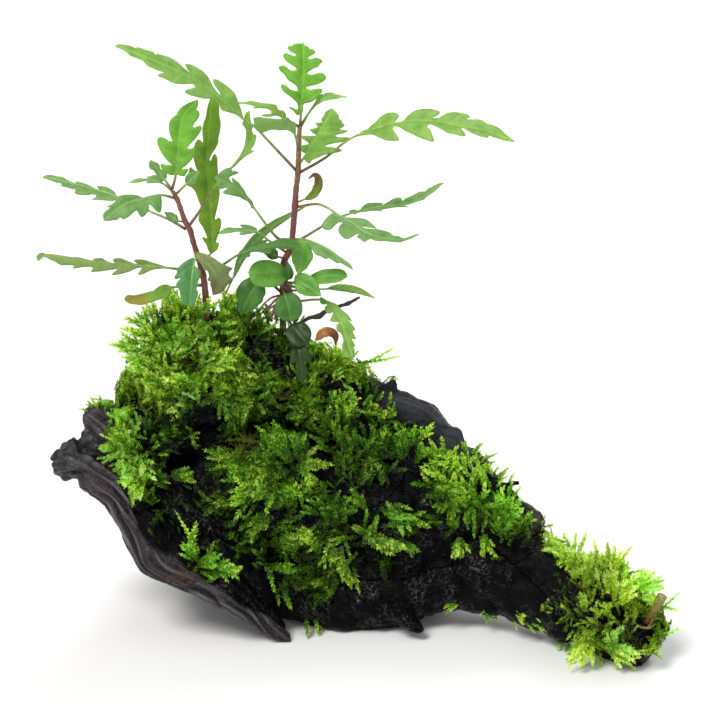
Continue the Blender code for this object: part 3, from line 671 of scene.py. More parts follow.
def make_driftwood():
    """The driftwood: carved from the remeshed solids, with masks and grain for its material."""
    obj = remeshed_wood()
    mesh = obj.data
    places = vectors_of(mesh.vertices, "co")
    normals = vectors_of(mesh.vertex_normals, "vector")
    places -= normals * WOOD_INFLATE * MM
    spots = front_view(places)
    nearness, coordinates, directions = strand_coordinates(places)
    weight = np.exp(-STRAND_FALLOFF * nearness)
    weight /= weight.sum(axis=0)
    behind = np.clip((normals[:, 1] - 0.05) / 0.4, 0, 1)
    # A strand's rounded end at the back carries the grain of the trunk on across it
    ends = behind * np.clip((np.abs(np.sum(normals * directions, axis=2)) - 0.4) / 0.3, 0, 1)
    across = (places[:, 2] + 0.25 * places[:, 0]) / MM
    across += 2.5 * noise(places * np.array([1, 0, 0]), 16, 111)
    ridge = wood_ridges(weight, coordinates, behind, ends, across)

    over = past_edge(spots)
    facing = normals[:, 1] < FRONT_NORMAL
    front = facing & (places[:, 1] < FRONT_DEPTH) & (spots[:, 0] < RIM_RIGHT_END)
    rim = np.clip(weight[RIM] * 1.6 - 0.1, 0, 1) * np.where(front, np.clip(0.5 + over / 1.2, 0, 1), 0.6)
    rim = np.maximum(rim, np.clip(1.6 * (patch(spots, *FLANK) * facing) - 0.1, 0, 0.85))
    grained = np.maximum(rim, 0.9 * behind)
    rim = np.maximum(rim, 0.4 * behind)
    step = front * np.clip(weight[RIM] * 2, 0, 1)
    lip = step * np.exp(-(((over - 0.7) / 0.7) ** 2))

    lumps = noise(places, 14, 3) * 1.5 + noise(places, 6, 4) * 1.1
    crags = 1 - 2 * np.abs(noise(places, 4.5, 5)) + 0.6 * (1 - 2 * np.abs(noise(places, 2.2, 6)))
    broken = np.clip((KNOB_START - places[:, 0]) / KNOB_BLEND, 0, 1)
    rough = np.clip(1 - rim, 0, 1)
    height = 0.85 * ridge * (0.35 + 0.65 * grained) * (1 - 0.7 * broken)
    calm = 1 - 0.45 * patch(spots, *CALM)
    height += (lumps * (0.4 + 0.6 * rough) + 0.55 * crags * rough) * calm + LIP_HEIGHT * lip
    height -= CRACK_DEPTH * patch(spots, *CRACK) * front
    height += broken * (noise(places, 5, 8) * 2.0 + noise(places, 2.8, 9) * 2.0 - 0.6)
    height -= step * (GROOVE_DEPTH * np.exp(-((over + 1.2) ** 2) / 2.5) + np.clip(-over / 2, 0, 1))
    height *= np.clip(places[:, 2] / GROUND_BLEND, 0, 1)
    moved = places + normals * (height * MM)[:, None]
    for right, up, reach, push_right, push_up in PUSHES:
        near = np.exp(-((spots[:, 0] - right) ** 2 + (spots[:, 1] - up) ** 2) / (2 * (0.7 * reach) ** 2))
        moved += near[:, None] * (np.array([push_right, 0, 0]) + push_up * SEEN_UP) * MM
    moved[:, 2] = np.maximum(moved[:, 2], np.where(places[:, 2] < 0.0006, places[:, 2], 0.0004))
    mesh.vertices.foreach_set("co", moved.astype(np.float32).ravel())
    mesh.update()

    add_grain(mesh, places, across, nearness, coordinates, ends)
    # the streak of painted sheen, on faces that turn to the front
    sheen_streak = np.exp(-((sheen_gap(spots) / SHEEN_HALF) ** 2)) * (normals[:, 1] < 0.5)
    hollow = patch(spots, *HOLLOW) * (normals[:, 1] < 0.5)
    rust = sum(patch(spots, *place) for place in RUST)
    float_attributes(mesh, {
        "rim": rim,
        # height of folds, crags and lip, which the material turns into painted shade and painted light
        "ridge": 0.5 + 0.3 * ridge + 0.12 * crags + 0.4 * lip,
        "plum": patch(spots, *PLUM) * front,
        "rust": np.clip(1.5 * rust * front * (0.6 + 0.8 * noise(places, 3, 15)), 0, 1),
        # the broken knob, more on its upward faces: grey wood with painted light on the top
        "knob_grey_and_top_light": broken * np.clip(0.5 + (normals[:, 2] + 0.3) * 0.6, 0, 1),
        "sheen_streak": sheen_streak,
        "calm": np.maximum(sheen_streak, hollow),
    })
    mesh.polygons.foreach_set("use_smooth", np.full(len(mesh.polygons), True))
    mesh.materials.clear()
    mesh.materials.append(wood_material())
    stand_for(obj, "wood", *WOOD_NODES)
    return obj


# Moss

# Fronds, their least and greatest length and width, how much they turn up, colours, seed of the clumps
Moss = namedtuple("Moss", "node fronds length width up_bias colours seed")
# Colours deep inside, half way out and at the tips; BRIGHT and SUNNY are lighter sets for the lit top and
# tail, SHADED_MOSS a darker set for the face and back, as painted light and shade
BRIGHT = ((0.003, 0.011, 0.001), (0.28, 0.55, 0.016), (0.92, 0.99, 0.24))
SUNNY = ((0.006, 0.015, 0.001), (0.46, 0.71, 0.032), (0.84, 0.99, 0.27))
LIME = ((0.006, 0.018, 0.001), (0.35, 0.66, 0.028), (0.80, 0.98, 0.30))
FRESH = ((0.004, 0.012, 0.001), (0.20, 0.46, 0.014), (0.70, 0.94, 0.13))
SHADED_MOSS = ((0.002, 0.007, 0.001), (0.12, 0.29, 0.010), (0.56, 0.80, 0.08))
MOSSES = (
    Moss("moss_top", 3300, (7, 13), (2.8, 4.6), 0.45, BRIGHT, 1),
    Moss("moss_left_edge", 1100, (6, 11), (2.6, 4.2), 0.1, LIME, 2),
    Moss("moss_face", 3200, (7, 13), (2.8, 4.6), 0.1, SHADED_MOSS, 3),
    Moss("moss_shoulder", 1700, (6, 12), (2.6, 4.2), 0.3, FRESH, 4),
    Moss("moss_tail", 2300, (7, 13), (2.8, 4.6), 0.5, SUNNY, 5),
    Moss("moss_front_sprig", 70, (5, 9), (2.4, 3.6), 0.3, FRESH, 6),
    Moss("moss_back", 2300, (7, 13), (3.0, 4.8), 0.2, SHADED_MOSS, 7),
)
# Bare places and places of painted shade (below 0) and full clumps (above 0) as the front view
# shows them: middle (right, up), half width, half height, strength
CLUMPS = rows_of(5, """
    -70.8 -48 13.6 16.8 -1.6  -60 -28.8 4.4 11.2 -1.8  -36.8 -0.4 8.8 5.6 -2.4  -28 1.6 16.8 7.2 -2.2
    -67.2 0 9.6 3.6 -2  -93.6 -14 7.2 5.6 -1.2  -43.2 -28 4.4 6 -0.9  14 -11.2 8.8 4.8 -2
    30.8 -20.8 6.4 5.6 -2  16.8 -49.2 8 9.6 -2.4  -22.8 -61.2 8 5.2 -2  -4 -44.4 11.2 3.6 -1.8
    -38 -98.4 27.2 6.4 -1.4  50 -86 23.2 12 -1.6  36.8 -64.8 9.6 6.4 -1.6  62 -73.2 8 5.6 -1.8
    78 -96 8.8 11.2 -2.4  113.2 -116.8 6.8 6.8 -1.6  36 -62 10.4 8 -2  48 -68 8.8 5.6 -2
    91.2 -100.8 14.4 8.8 -2.4  123.2 -116 4.8 10.4 -3.2  116 -118 8 6.4 -2.8  98 -86 13.6 6 1.2
    -4 -24 16 6.4 0.8  18 -28.8 11.2 4.8 0.7  -10 -2.4 10.4 6.4 0.8  -42 14 8 6.4 -2  116 -100.8 4.8 5.6 -2
    -44 15.2 7.2 5.6 -2  -33 8 8 4 -1.6  -87.6 5.6 11.6 11.6 0.8  -66.8 8 8.8 6.8 0.6
    -91.6 -38.8 4.4 11.2 0.9  80 -75.6 11.2 7.2 0.9  105.2 -85.2 16 10.4 1  90 -116 8.4 9.6 0.6
""")
# Olive and brown moss, as (right, up, half width, half height) in the front view
OLIVE = rows_of(4, """
    -96.8 -12.8 9.6 5.6  -88 -16 5.6 4  -67.2 0 10.4 3.6  -47.6 -34.4 7.6 4.4  97.6 -100 7.2 6.4  -1.6 -44 8 6
    44 -62.4 7.2 4.8
""")
# Single sprigs that stand out, by moss: foot and tip as (right, up, back), width
SPRIGS = tables_of(7, """
    moss_top  -2 -3 26 13.6 5 22 2.8  -1 -1 26 16 1.6 22 2.8  -41.6 10.4 24 -32.2 15.4 22 2.6
    moss_tail  106 -92 -20 121 -86.4 -22 4  120 -100 -26 128.6 -92.8 -28 3  120 -98 -26 127.6 -100 -28 3
        117 -112 -28 128 -107.6 -30 3.4  92 -118 -35 93.6 -126 -35 3.2  102.4 -120.8 -36 102.4 -126 -36 2.4
        96.8 -112.8 -38 105.2 -106.8 -40 5  97.6 -114 -39 108.8 -115.2 -40 5.6
        99.2 -115.2 -39 112 -117.6 -40 4.6  100 -116 -38 107.6 -121.2 -39 4.6
""")
# Fans of fronds as the front view shows them, by moss: foot (right, up), scatter of the feet,
# heading and spread in degrees, length, count, brightness (painted light and shade on the fronds)
FANS = tables_of(8, """
    moss_top  -88.8 11.2 2 125 30 7.2 9 1.1  -88.8 5.2 2.4 165 35 8.8 14 1.05
        -84.8 -2.4 2.8 170 35 9.6 16 1.05  -81.2 -3.6 3.2 120 45 8.8 16 0.95  -75.6 7.6 2.8 100 50 8.8 12 0.85
        -59.2 8.8 1.6 160 40 7.2 10 0.95  -73.6 7.6 1.6 270 40 5.6 8 0.9  -60.8 17.6 2 60 60 7.2 12 0.95
        -73.6 17.6 2 110 40 7.2 10 0.95  -58 12 0.8 5 15 9.6 3 0.8  -64 2.4 0.6 -8 5 16 2 0.75
        -63.2 -3.2 0.6 6 5 12.8 2 0.75  -68.8 -8.8 0.8 155 8 8.8 3 1  -68.8 -8.8 0.8 115 10 5.6 3 0.9
        -84 8 2.4 140 50 7.2 12 1  -50 14 2 80 50 5.6 8 0.5  -65.2 -16 3.2 100 70 8 16 1.05
        -58 -15.2 1.2 40 25 9.6 8 1.05  -67.2 -18 1.2 215 30 9.6 8 1.05  -80 -10 2.8 150 60 6.4 12 0.8
        -14 -4 3.2 60 60 5.6 10 0.75  -5.6 -7.2 2 -20 35 4.8 6 0.9  -8 -0.8 1.6 70 60 4.8 8 0.85
        -24 -7.2 3.2 100 60 5.6 8 0.6  -75.2 20.8 1.6 95 30 8.8 10 1  -71.2 18.8 1.6 90 40 8 10 0.95
        -65.6 20.4 1.6 90 40 7.2 8 0.95  -54 19.2 2 70 50 7.2 10 0.85  -48 11.2 2.4 100 60 4.8 8 0.4
        -10 -16.8 2 80 60 5.6 10 0.95  -3.2 -19.2 2 60 60 5.6 10 0.9  2.4 -20.8 1.6 40 40 4.8 8 0.85
        14 -5.2 0.8 80 50 3.2 5 0.8  7.2 -7.6 1.6 75 60 3.6 6 0.65  11.2 -9.2 1.6 70 60 3.6 6 0.6
        -17.6 3.2 1.6 80 60 4.8 10 0.95  -11.6 1.6 2 90 60 4.8 12 1.05  -5.6 -0.8 2 80 60 4.8 10 0.95
        -9.6 -5.6 2.4 90 80 4.8 12 0.9  -42 6 2.8 90 90 4.8 9 0.16  -35.2 3.2 2.8 90 90 4.8 9 0.14
        -29.6 6.8 2.4 90 90 4.8 8 0.16  -39.2 -2.4 2.4 90 90 4.8 8 0.2  -46.8 15.2 2 95 50 6.4 8 0.4
        -41.2 15.2 2 90 45 7.2 9 0.38  -36 13.6 2 90 45 7.2 9 0.36  -31.2 12 2 85 45 6.4 8 0.38
        -26.8 10.4 1.6 85 40 5.6 6 0.4  -62 8 3.2 100 70 5.6 10 1.05  -55.2 3.2 3.2 80 70 5.6 10 1
        -85.6 15.2 1 115 55 6.8 10 0.95  -82 18 1 105 50 6.4 10 0.95  -78.4 19.2 1 95 45 5.6 7 1
        -52 21.6 1.6 95 22 8.8 7 0.85  -46.8 22.4 1.6 80 35 6 6 0.6
    moss_face  -44 -16.4 3.2 250 60 8 16 0.75  -40.8 -11.6 2 60 45 8 10 0.95  -43.2 -16.4 0.4 105 8 8.8 3 0.9
        -52.8 -18 2.4 280 60 7.2 10 0.8  -67.2 -33.2 1.6 60 60 5.6 8 0.75  -75.6 -45.6 0.8 15 15 9.6 5 0.85
        -69.2 -45.6 0.8 -35 25 7.2 4 0.75  -82.4 -47.6 1.2 20 30 5.6 5 0.7  -48 -38.4 1.2 190 25 12 9 0.7
        -27.6 -38.4 2.4 135 30 12 13 0.85  -40.4 -48.4 2 180 50 11.2 15 0.95  -80.8 -40 4 80 80 6.4 10 0.3
        -81.2 -68 2 120 50 6.4 6 0.3  -30.8 -36 2.4 110 50 9.6 14 0.9  -24.8 -41.6 2 -10 45 10.4 15 0.9
        -34 -43.6 2.4 200 60 10.4 16 1  -43.2 -46.4 1.6 170 30 10.4 10 0.75  -43.2 -54 1.2 212 22 11.2 8 1
        -36.8 -50.4 1.6 230 35 9.6 10 1.05  -33.2 -50.4 0.8 -40 20 7.2 5 0.85
        -39.2 -62.4 2.4 215 50 9.6 13 0.7  -15.6 -61.2 0.8 150 15 8 4 0.8  -9.2 -62.4 2.4 80 60 7.2 13 0.85
        -16 -76 0.8 145 12 13.6 5 1  -6.4 -74 3.2 240 60 10.4 18 0.8  -6.4 -82 1.6 280 25 8.8 8 0.95
        -38 -82 0.8 15 10 13.6 5 0.7  -39.2 -81.6 0.8 140 15 5.6 4 0.75  -40 -78.4 0.8 95 25 5.6 4 0.75
        -55.2 -77.2 1.2 120 30 4.8 4 0.6  -30.8 -92 0.8 -60 15 8 4 0.6  -19.6 -103.6 0.8 -50 35 8 6 0.85
        -13.2 -87.6 0.4 180 10 7.2 3 0.7  2.4 -59.6 0.4 130 6 11.2 3 0.95  4 -70.4 1.2 100 20 10.4 8 0.95
        13.2 -59.6 1.6 -60 40 10.4 12 0.95  15.6 -62.4 0.8 140 10 7.2 3 0.95  18.4 -63.6 0.8 0 8 9.6 4 0.95
        15.6 -71.6 0.8 -35 15 11.2 5 0.6  1.2 -70.4 1.2 -28 12 16 7 1  -5.6 -22.4 2 80 45 7.2 12 0.95
        6 -26.4 0.8 80 12 10.4 4 0.8  18.4 -37.2 2.4 75 40 13.6 22 0.95  22.4 -33.2 0.4 28 6 13.6 3 1.1
        13.2 -37.2 1.2 165 20 13.6 9 0.95  4.4 -34.4 3.2 100 50 10.4 18 0.7  -12 -32 3.2 120 60 8.8 14 0.75
        10 -30.4 5.6 90 80 7.2 34 0.42  0 -22 4.8 90 80 6.4 22 0.42  -20 -22 4 110 70 8 14 0.7
        -10 -18 2.4 70 60 6.4 10 0.8  -78 -58 4.8 60 90 5.6 14 0.2  -69.6 -72 3.6 60 90 5.2 12 0.2
        -61.6 -56 4 60 90 5.2 10 0.18  -8 -18 3.2 85 70 5.6 14 0.95  2 -22 3.2 80 60 5.6 14 0.9
        10 -24 3.2 75 60 5.6 14 0.95  18 -92.8 3.6 90 90 3.6 7 0.2  8.8 -44 3.2 120 60 4 8 0.2
        -4 -40.8 2.4 100 80 5.6 10 0.42  0.8 -47.2 2.4 90 80 5.2 9 0.38  -8 -50 2 90 80 4.8 8 0.4
    moss_left_edge  -87.2 -32 2.4 130 60 9.6 16 0.85  -94 -34.8 2 170 50 7.2 14 0.95
        -88.8 -40.8 2.4 200 50 8 16 1  -87.2 -47.6 2 205 60 8 16 1.05  -84.8 -35.6 2 60 60 6.4 12 0.6
        -90.8 -50.4 0.8 -60 20 6.4 4 0.9  -90 -58.4 0.8 110 40 4 4 0.8  -92.8 -27.2 2 110 60 5.6 8 0.7
        -92 -32 2.4 95 60 6.4 14 0.95  -96.4 -38.8 1.6 190 40 6.4 10 1.05  -92.8 -44 2 220 50 7.2 12 1.1
        -106.4 -19.2 1.2 125 40 4.4 8 0.8  -102.4 -15.6 2 110 50 4.8 9 0.7  -80.8 -58 3.2 80 90 4 8 0.2
        -84 -48 2.4 60 90 4 8 0.3  -102.4 -19.2 1.2 105 50 3.6 9 0.55  -99.2 -18 1.6 100 60 4 9 0.5
    moss_shoulder  36.4 -47.6 3.6 110 60 8.4 26 0.95  34.4 -47.6 0.4 150 8 11.2 3 1.05
        46.4 -52 4 80 60 8 28 0.95  29.2 -50.8 0.3 162 4 10.4 2 0.6  25.2 -58.8 0.4 100 15 4.8 2 0.8
        37.2 -68.8 0.8 95 12 12 4 0.6  58 -59.6 2.4 50 70 8 20 0.95  47.6 -59.6 3.2 90 60 8 14 0.5
        39.6 -71.6 0.8 -75 25 8.8 8 1.05  48.8 -70.4 0.8 -60 25 8.8 8 0.95  64 -64 2 60 60 5.6 8 0.85
        32 -40.8 2 100 60 8 12 0.8  39.6 -96.8 0.8 200 30 6.4 5 0.8  52.8 -101.6 1.6 250 40 4.8 6 0.7
        32 -64 4 100 70 7.2 10 0.3  44 -38 2 60 50 6 10 0.95  49.6 -42.4 2 60 50 5.6 10 0.95
        54.4 -47.2 2 55 50 5.6 10 0.95  28 -84 4 90 90 3.6 7 0.22  40 -80.8 4 90 90 3.6 7 0.22
        56 -92.8 3.2 90 90 3.2 6 0.2  36.8 -60.8 2 -80 60 6.4 9 0.5  44 -59.2 2 -80 60 6.4 10 0.5
        50.4 -62.4 2 -70 60 6 8 0.45  35.2 -56 1.6 -95 50 5.6 7 0.6
    moss_tail  66.8 -67.2 1.2 60 60 3.6 6 1  72.4 -70.4 1.2 60 60 4 7 1  76.4 -72.8 1.2 70 60 4.8 8 1.05
        84.4 -79.6 2.4 110 60 7.2 14 1.05  82.4 -80 1.6 280 50 5.6 8 0.95  91.6 -91.2 1.2 92 14 15.2 7 1.1
        99.6 -87.2 0.6 72 8 17.6 5 1  101.2 -94 2.4 55 60 12 18 1.05  108.4 -92.4 1.2 20 18 14.4 10 1.15
        96 -86 2.8 100 75 8 14 1  98.4 -100.8 3.6 90 80 7.2 12 0.5  90.4 -100.8 0.4 100 8 9.6 2 0.9
        82 -94 4 90 90 5.2 14 0.14  80 -102 3.2 90 90 4.8 12 0.16  92 -100 3.2 90 90 6 10 0.36
        98.4 -114.4 1.2 -25 25 13.6 9 0.9  102 -115.6 0.8 85 15 9.6 6 1.05  109.2 -118.8 0.8 -10 40 4.8 4 1
        90.4 -112 2 -100 30 12 15 0.95  86 -117.2 0.8 225 12 7.2 3 0.95  94.4 -118 1.2 -60 20 8.8 5 0.95
        62.4 -101.2 1.2 -25 30 5.6 9 0.85  68.4 -104 1.2 -20 20 5.6 7 0.8  73.6 -100.4 0.8 20 20 6.4 4 0.8
        80.8 -114 1.6 -80 40 4.8 7 0.6  112.4 -98.8 2 160 40 6.4 7 0.35  108 -106 2.4 100 60 6.4 9 0.45
        118 -118 0.8 0 30 4 3 0.9  96 -106 2.4 200 60 6.4 10 0.48  74 -70.4 2 60 50 5.6 8 1.05
        82.4 -74 2.4 100 60 8 12 1.1  94 -84 2.4 95 60 8 10 1.05  110 -90 2.4 50 55 8 10 1.1
        90.4 -87.6 2.8 110 70 6.4 10 0.95  104.8 -90.4 2.8 70 70 6.4 10 0.95  112 -92 2 40 50 5.6 8 1.05
        84 -100 4.8 90 90 4.8 8 0.12  96 -104.8 3.2 90 90 4.8 8 0.4  88 -109.6 2 -105 60 5.6 10 0.5
        92.8 -105.6 2 -95 70 5.2 10 0.45  84.8 -104.8 2 -110 60 4.8 8 0.3  98.4 -96 2.4 80 80 6 10 0.5
        92 -93.6 2 100 70 5.6 8 0.42  108 -97.6 2 70 70 5.2 8 0.5
    moss_front_sprig  -66.8 -78.6 0.3 95 2 20.4 2 1.1  -66 -80 0.8 108 22 8.8 7 0.85
        -64 -81.2 1.2 10 20 8.8 9 0.75  -56.8 -82.4 1.2 -10 25 8 9 0.85  -53.6 -83.6 0.8 -25 30 6.4 7 1.05
        -62 -80.8 1.2 60 40 5.6 6 0.6
""")


def fronds(pairs, roots, ways, faces, lengths, widths, bends, tones, tints):
    """Feathers of narrow pointed leaflets on a thin axis, for every frond at once: quads, tones and tints."""
    count = len(roots)
    sides = unit(np.cross(ways, faces))
    verts, tone, tint = [], [], []

    def place_at(t):
        return roots + ways * (lengths * t)[:, None] + bends * (lengths * t * t)[:, None]

    def quad(a, belly, tip, b, low, high):
        verts.append(np.stack([a, belly, tip, b], axis=1))
        tone.append(np.stack([low, 0.5 * (low + high), high, low], axis=1))
        tint.append(np.repeat(tints[:, None], 4, axis=1))

    for k in range(pairs + 1):
        t = k / pairs
        foot, next_foot = place_at(t), place_at(min(1, t + LEAFLET_FOOT / pairs))
        way = unit(ways + 2 * t * bends)
        side = unit(sides - way * np.sum(sides * way, axis=1, keepdims=True))
        face = np.cross(side, way)
        size = widths * 0.62 * (0.5 + 1.2 * t - 1.4 * t * t)
        # tone runs from painted shade at the foot of each leaflet to brighter at its tip, and grows towards
        # the frond's tip
        low, high = tones * (0.08 + 0.66 * t), tones * (0.42 + 0.72 * t)
        if k == pairs:
            reach = side * (0.25 * size)[:, None]
            middle, tip = foot + way * (0.4 * size)[:, None], foot + way * (1.4 * size)[:, None]
            quad(middle - reach, foot, middle + reach, tip, low, high)
            continue
        for sign in (-1, 1):
            turn = LEAFLET_ANGLE + rng.normal(0, 0.14, (count, 1))
            lift = rng.normal(0.15, 0.2, (count, 1))
            out = unit(way * np.cos(turn) + side * (sign * np.sin(turn)) + face * lift)
            reach = out * (size * rng.uniform(0.7, 1.25, count))[:, None]
            belly = foot + 0.5 * reach - way * (0.09 * size)[:, None]
            middle = foot + 0.3 * (next_foot - foot)
            # some leaflets brighter than others: painted glints of tips catching light
            glow = rng.uniform(0.5, 1.6, count)
            quad(foot, belly, middle + reach, next_foot, low * glow, high * glow)
    for k in range(AXIS_PARTS):
        foot, next_foot = place_at(k / AXIS_PARTS), place_at((k + 1) / AXIS_PARTS)
        wide = sides * (AXIS_HALF * (1 - 0.25 * k) * MM)
        narrow = sides * (AXIS_HALF * (0.75 - 0.25 * k) * MM)
        high = tones * (0.35 + 0.1 * k)
        quad(foot - wide, foot + wide, next_foot + narrow, next_foot - narrow, tones * 0.2, high)
    shapes = np.stack(verts, axis=1).reshape(count, -1, 3)
    return shapes, np.stack(tone, axis=1).ravel(), np.stack(tint, axis=1).ravel()


def surface_samples(mesh, count):
    """Random places on MESH with the normals of their triangles."""
    mesh.calc_loop_triangles()
    places = vectors_of(mesh.vertices, "co")
    corners = np.empty(len(mesh.loop_triangles) * 3, np.int32)
    mesh.loop_triangles.foreach_get("vertices", corners)
    triangles = places[corners.reshape(-1, 3)]
    crossed = np.cross(triangles[:, 1] - triangles[:, 0], triangles[:, 2] - triangles[:, 0])
    area = np.linalg.norm(crossed, axis=1)
    chosen = rng.choice(len(area), count, p=area / area.sum())
    a, b = rng.random((2, count, 1))
    fold = a + b > 1
    a, b = np.where(fold, 1 - a, a), np.where(fold, 1 - b, b)
    corner = triangles[chosen]
    spots = corner[:, 0] + a * (corner[:, 1] - corner[:, 0]) + b * (corner[:, 2] - corner[:, 0])
    return spots, unit(crossed[chosen])


def clump(places, seed):
    """How much moss stands up at PLACES, from gaps near -1 to the middles of clumps near 1."""
    return noise(places, CLUMP_SIZE, seed) + 0.45 * noise(places, TUFT_SIZE, seed + 20)


def clump_strength(places, outward):
    """What the listed bare places and clumps add to the moss at PLACES on its seen side."""
    spots = front_view(places)
    added = sum(strength * in_oval(spots, *oval) for *oval, strength in CLUMPS)
    return added * np.clip(0.5 + 1.5 * (-outward[:, 1] * 0.9 + 0.35 * outward[:, 2]), 0, 1)


def view_ray(right, up):
    """Direction of the front view's ray through (RIGHT, UP)."""
    return (seen(right, up, 0) - CAMERA_PLACE).normalized()


def first_hit(trees, right, up):
    """Place and normal where the front view's ray through (RIGHT, UP) first meets one of TREES.

    A ray that passes them all by gives the place on them that is nearest to it.
    """
    way = view_ray(right, up)
    found = [hit for hit in (tree.ray_cast(CAMERA_PLACE, way) for tree in trees) if hit[0]]
    if not found:
        spots = [seen(right, up, back) for back in range(-50, 70, 4)]
        found = [tree.find_nearest(spot) for tree in trees for spot in spots]
    return min(found, key=lambda hit: hit[3])[:2]


def planted(trees, tips, outward, ways, bends, lengths):
    """Turns fronds outward and shortens them until their roots lie inside one of TREES."""
    for _ in range(5):
        roots = tips - (ways + bends) * lengths[:, None]
        floating = np.ones(len(roots), bool)
        for tree in trees:
            for k in np.flatnonzero(floating):
                place, normal = tree.find_nearest(Vector(roots[k]))[:2]
                floating[k] = (Vector(roots[k]) - place).dot(normal) > 0.2 * MM
        if not floating.any():
            break
        ways[floating] = unit(ways[floating] + 0.5 * outward[floating])
        lengths[floating] *= 0.85
    return roots


def at_outline(trees, spots, outward):
    """Which of SPOTS have open background close by in the front view."""

    def is_open(right, up):
        return not any(tree.ray_cast(CAMERA_PLACE, view_ray(right, up))[0] for tree in trees)

    turns = [k * math.pi / 3 for k in range(6)]
    around = [(OUTLINE_REACH * math.cos(turn), OUTLINE_REACH * math.sin(turn)) for turn in turns]
    clear = np.array([is_open(*place) for place in front_view(spots + outward * 2.4 * MM)])
    for k in np.flatnonzero(~clear):
        right, up = front_view(spots[k : k + 1])[0]
        clear[k] = any(is_open(right + across, up + rise) for across, rise in around)
    return clear


def sprig_fronds(rows):
    """The single sprigs, from foot to tip."""
    foot = np.array([seen(*row[:3]) for row in rows])
    tip = np.array([seen(*row[3:6]) for row in rows])
    length = np.linalg.norm(tip - foot, axis=1)
    bend = np.cross(unit(tip - foot), [0, 1, 0]) * 0.12
    face = unit(np.array([0.1, -1, 0.35]) + 0.2 * rng.normal(0, 1, (len(rows), 3)))
    width = np.array([row[6] for row in rows]) * MM
    tones, tints = np.full(len(rows), 1.1), np.zeros(len(rows))
    return fronds(SPRIG_PAIRS, foot, unit(tip - foot) - bend, face, length, width, bend, tones, tints)


def fan_fronds(rows, trees):
    """The fronds of the listed fans, which spring from what the front view shows at their feet."""
    made = []
    for across, up, scatter, heading, spread, length, count, tone in rows:
        tint = rng.uniform(0, 0.75)
        for _ in range(int(count)):
            foot = rng.normal(0, scatter, 2)
            hit, normal = first_hit(trees, across + foot[0], up + foot[1])
            angle = math.radians(heading + spread * rng.uniform(-1, 1))
            normal = np.array(normal)
            if normal @ TOWARD_CAMERA < 0:
                normal = -normal
            way = SEEN_RIGHT * math.cos(angle) + SEEN_UP * math.sin(angle)
            way = way - min(0.0, way @ normal) * normal + 0.3 * normal + 0.12 * rng.normal(0, 1, 3)
            made.append((
                np.array(hit) - normal * rng.uniform(0.2, 1.6) * MM,
                way,
                TOWARD_CAMERA + 0.5 * normal + 0.35 * rng.normal(0, 1, 3),
                length * rng.uniform(0.7, 1.12) * MM,
                0.1 * rng.normal(0, 1, 3) + np.array([0, 0, -0.05]),
                tone * rng.uniform(0.75, 1.1),
                tint + rng.normal(0, 0.06),
            ))
    roots, ways, faces, lengths, bends, tones, tints = (np.array(values) for values in zip(*made))
    widths = np.minimum(rng.uniform(2.6, 4.2, len(made)) * (0.8 * MM + 0.03 * lengths), 0.42 * lengths)
    return fronds(FROND_PAIRS, roots, unit(ways), unit(faces), lengths, widths, bends, tones, tints)


def cushion_fronds(moss, wood_tree, solid_trees):
    """Fronds that spring from inside a moss's solid and end at its surface, in clumps with gaps."""
    spots, outward = surface_samples(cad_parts[moss.node].data, moss.fronds * 4)
    on_wood = np.array([wood_tree.find_nearest(Vector(spot))[0] for spot in spots])
    depth = np.linalg.norm(spots - on_wood, axis=1)
    away = np.sum((spots - on_wood) * outward, axis=1)
    extra = clump_strength(spots, outward)
    stand = np.clip((clump(spots, moss.seed) + 0.4) / 0.9 + extra, 0, 1)
    chance = np.clip(0.12 + 0.3 * np.minimum(extra, 0), 0, 1) + 0.88 * stand
    keep = (depth > LEAST_DEPTH * MM) & (away > 0) & (rng.random(len(spots)) < chance)
    chosen = np.flatnonzero(keep)[: moss.fronds]
    spots, outward, depth, stand = spots[chosen], outward[chosen], depth[chosen], stand[chosen]
    count = len(spots)

    slope = np.stack([clump(spots + step, moss.seed) - clump(spots - step, moss.seed)
                      for step in SLOPE_STEP * MM * np.eye(3)], axis=1)
    slope = unit(slope - outward * np.sum(slope * outward, axis=1, keepdims=True))
    up = np.array([0, 0, 1.0])
    loose = rng.random(count) < LOOSE_SHARE
    ways = unit(
        -0.7 * slope + 0.5 * outward + moss.up_bias * up + 0.4 * rng.normal(0, 1, (count, 3))
        + 0.6 * loose[:, None] * outward
    )
    inward = np.minimum(np.sum(ways * outward, axis=1, keepdims=True) - 0.35, 0)
    ways = unit(ways - inward * outward)
    inset = (1 - stand) * np.minimum(0.8 * depth, MOST_INSET * MM) + rng.uniform(0, 1.6, count) * MM
    inset += (1 - 1.6 * loose) * MM
    lengths = rng.uniform(*moss.length, count) * MM
    bends = -0.16 * outward + 0.12 * up + 0.1 * rng.normal(0, 1, (count, 3))
    tips = spots - outward * inset[:, None]
    roots = planted((solid_trees[moss.node], wood_tree), tips, outward, ways, bends, lengths)
    faces = unit(outward + 0.3 * up + 0.35 * rng.normal(0, 1, (count, 3)))
    widths = rng.uniform(*moss.width, count) * MM

    # painted shade on fronds sunk in the gaps, painted light on moss that faces up
    tones = (0.10 + 0.88 * stand) * rng.uniform(0.55, 1.15, count) * (0.8 + 0.25 * outward[:, 2])
    # painted shade: the face's moss darker towards the bottom
    tones *= np.interp(spots[:, 2], [0.015, 0.06], [0.6 if moss.node == "moss_face" else 1.0, 1.0])
    # painted light on the fronds at the outline
    clear = at_outline([wood_tree, *solid_trees.values()], spots, outward)
    tones = np.where(clear, np.maximum(tones, rng.uniform(0.5, 0.95, count)), tones)
    tints = 0.5 + 0.5 * noise(spots, 7, 91) + rng.normal(0, 0.1, count)
    for oval in OLIVE:
        tints += 0.6 * in_oval(front_view(spots), *oval)
    return fronds(FROND_PAIRS, roots, ways, faces, lengths, widths, bends, tones, tints)


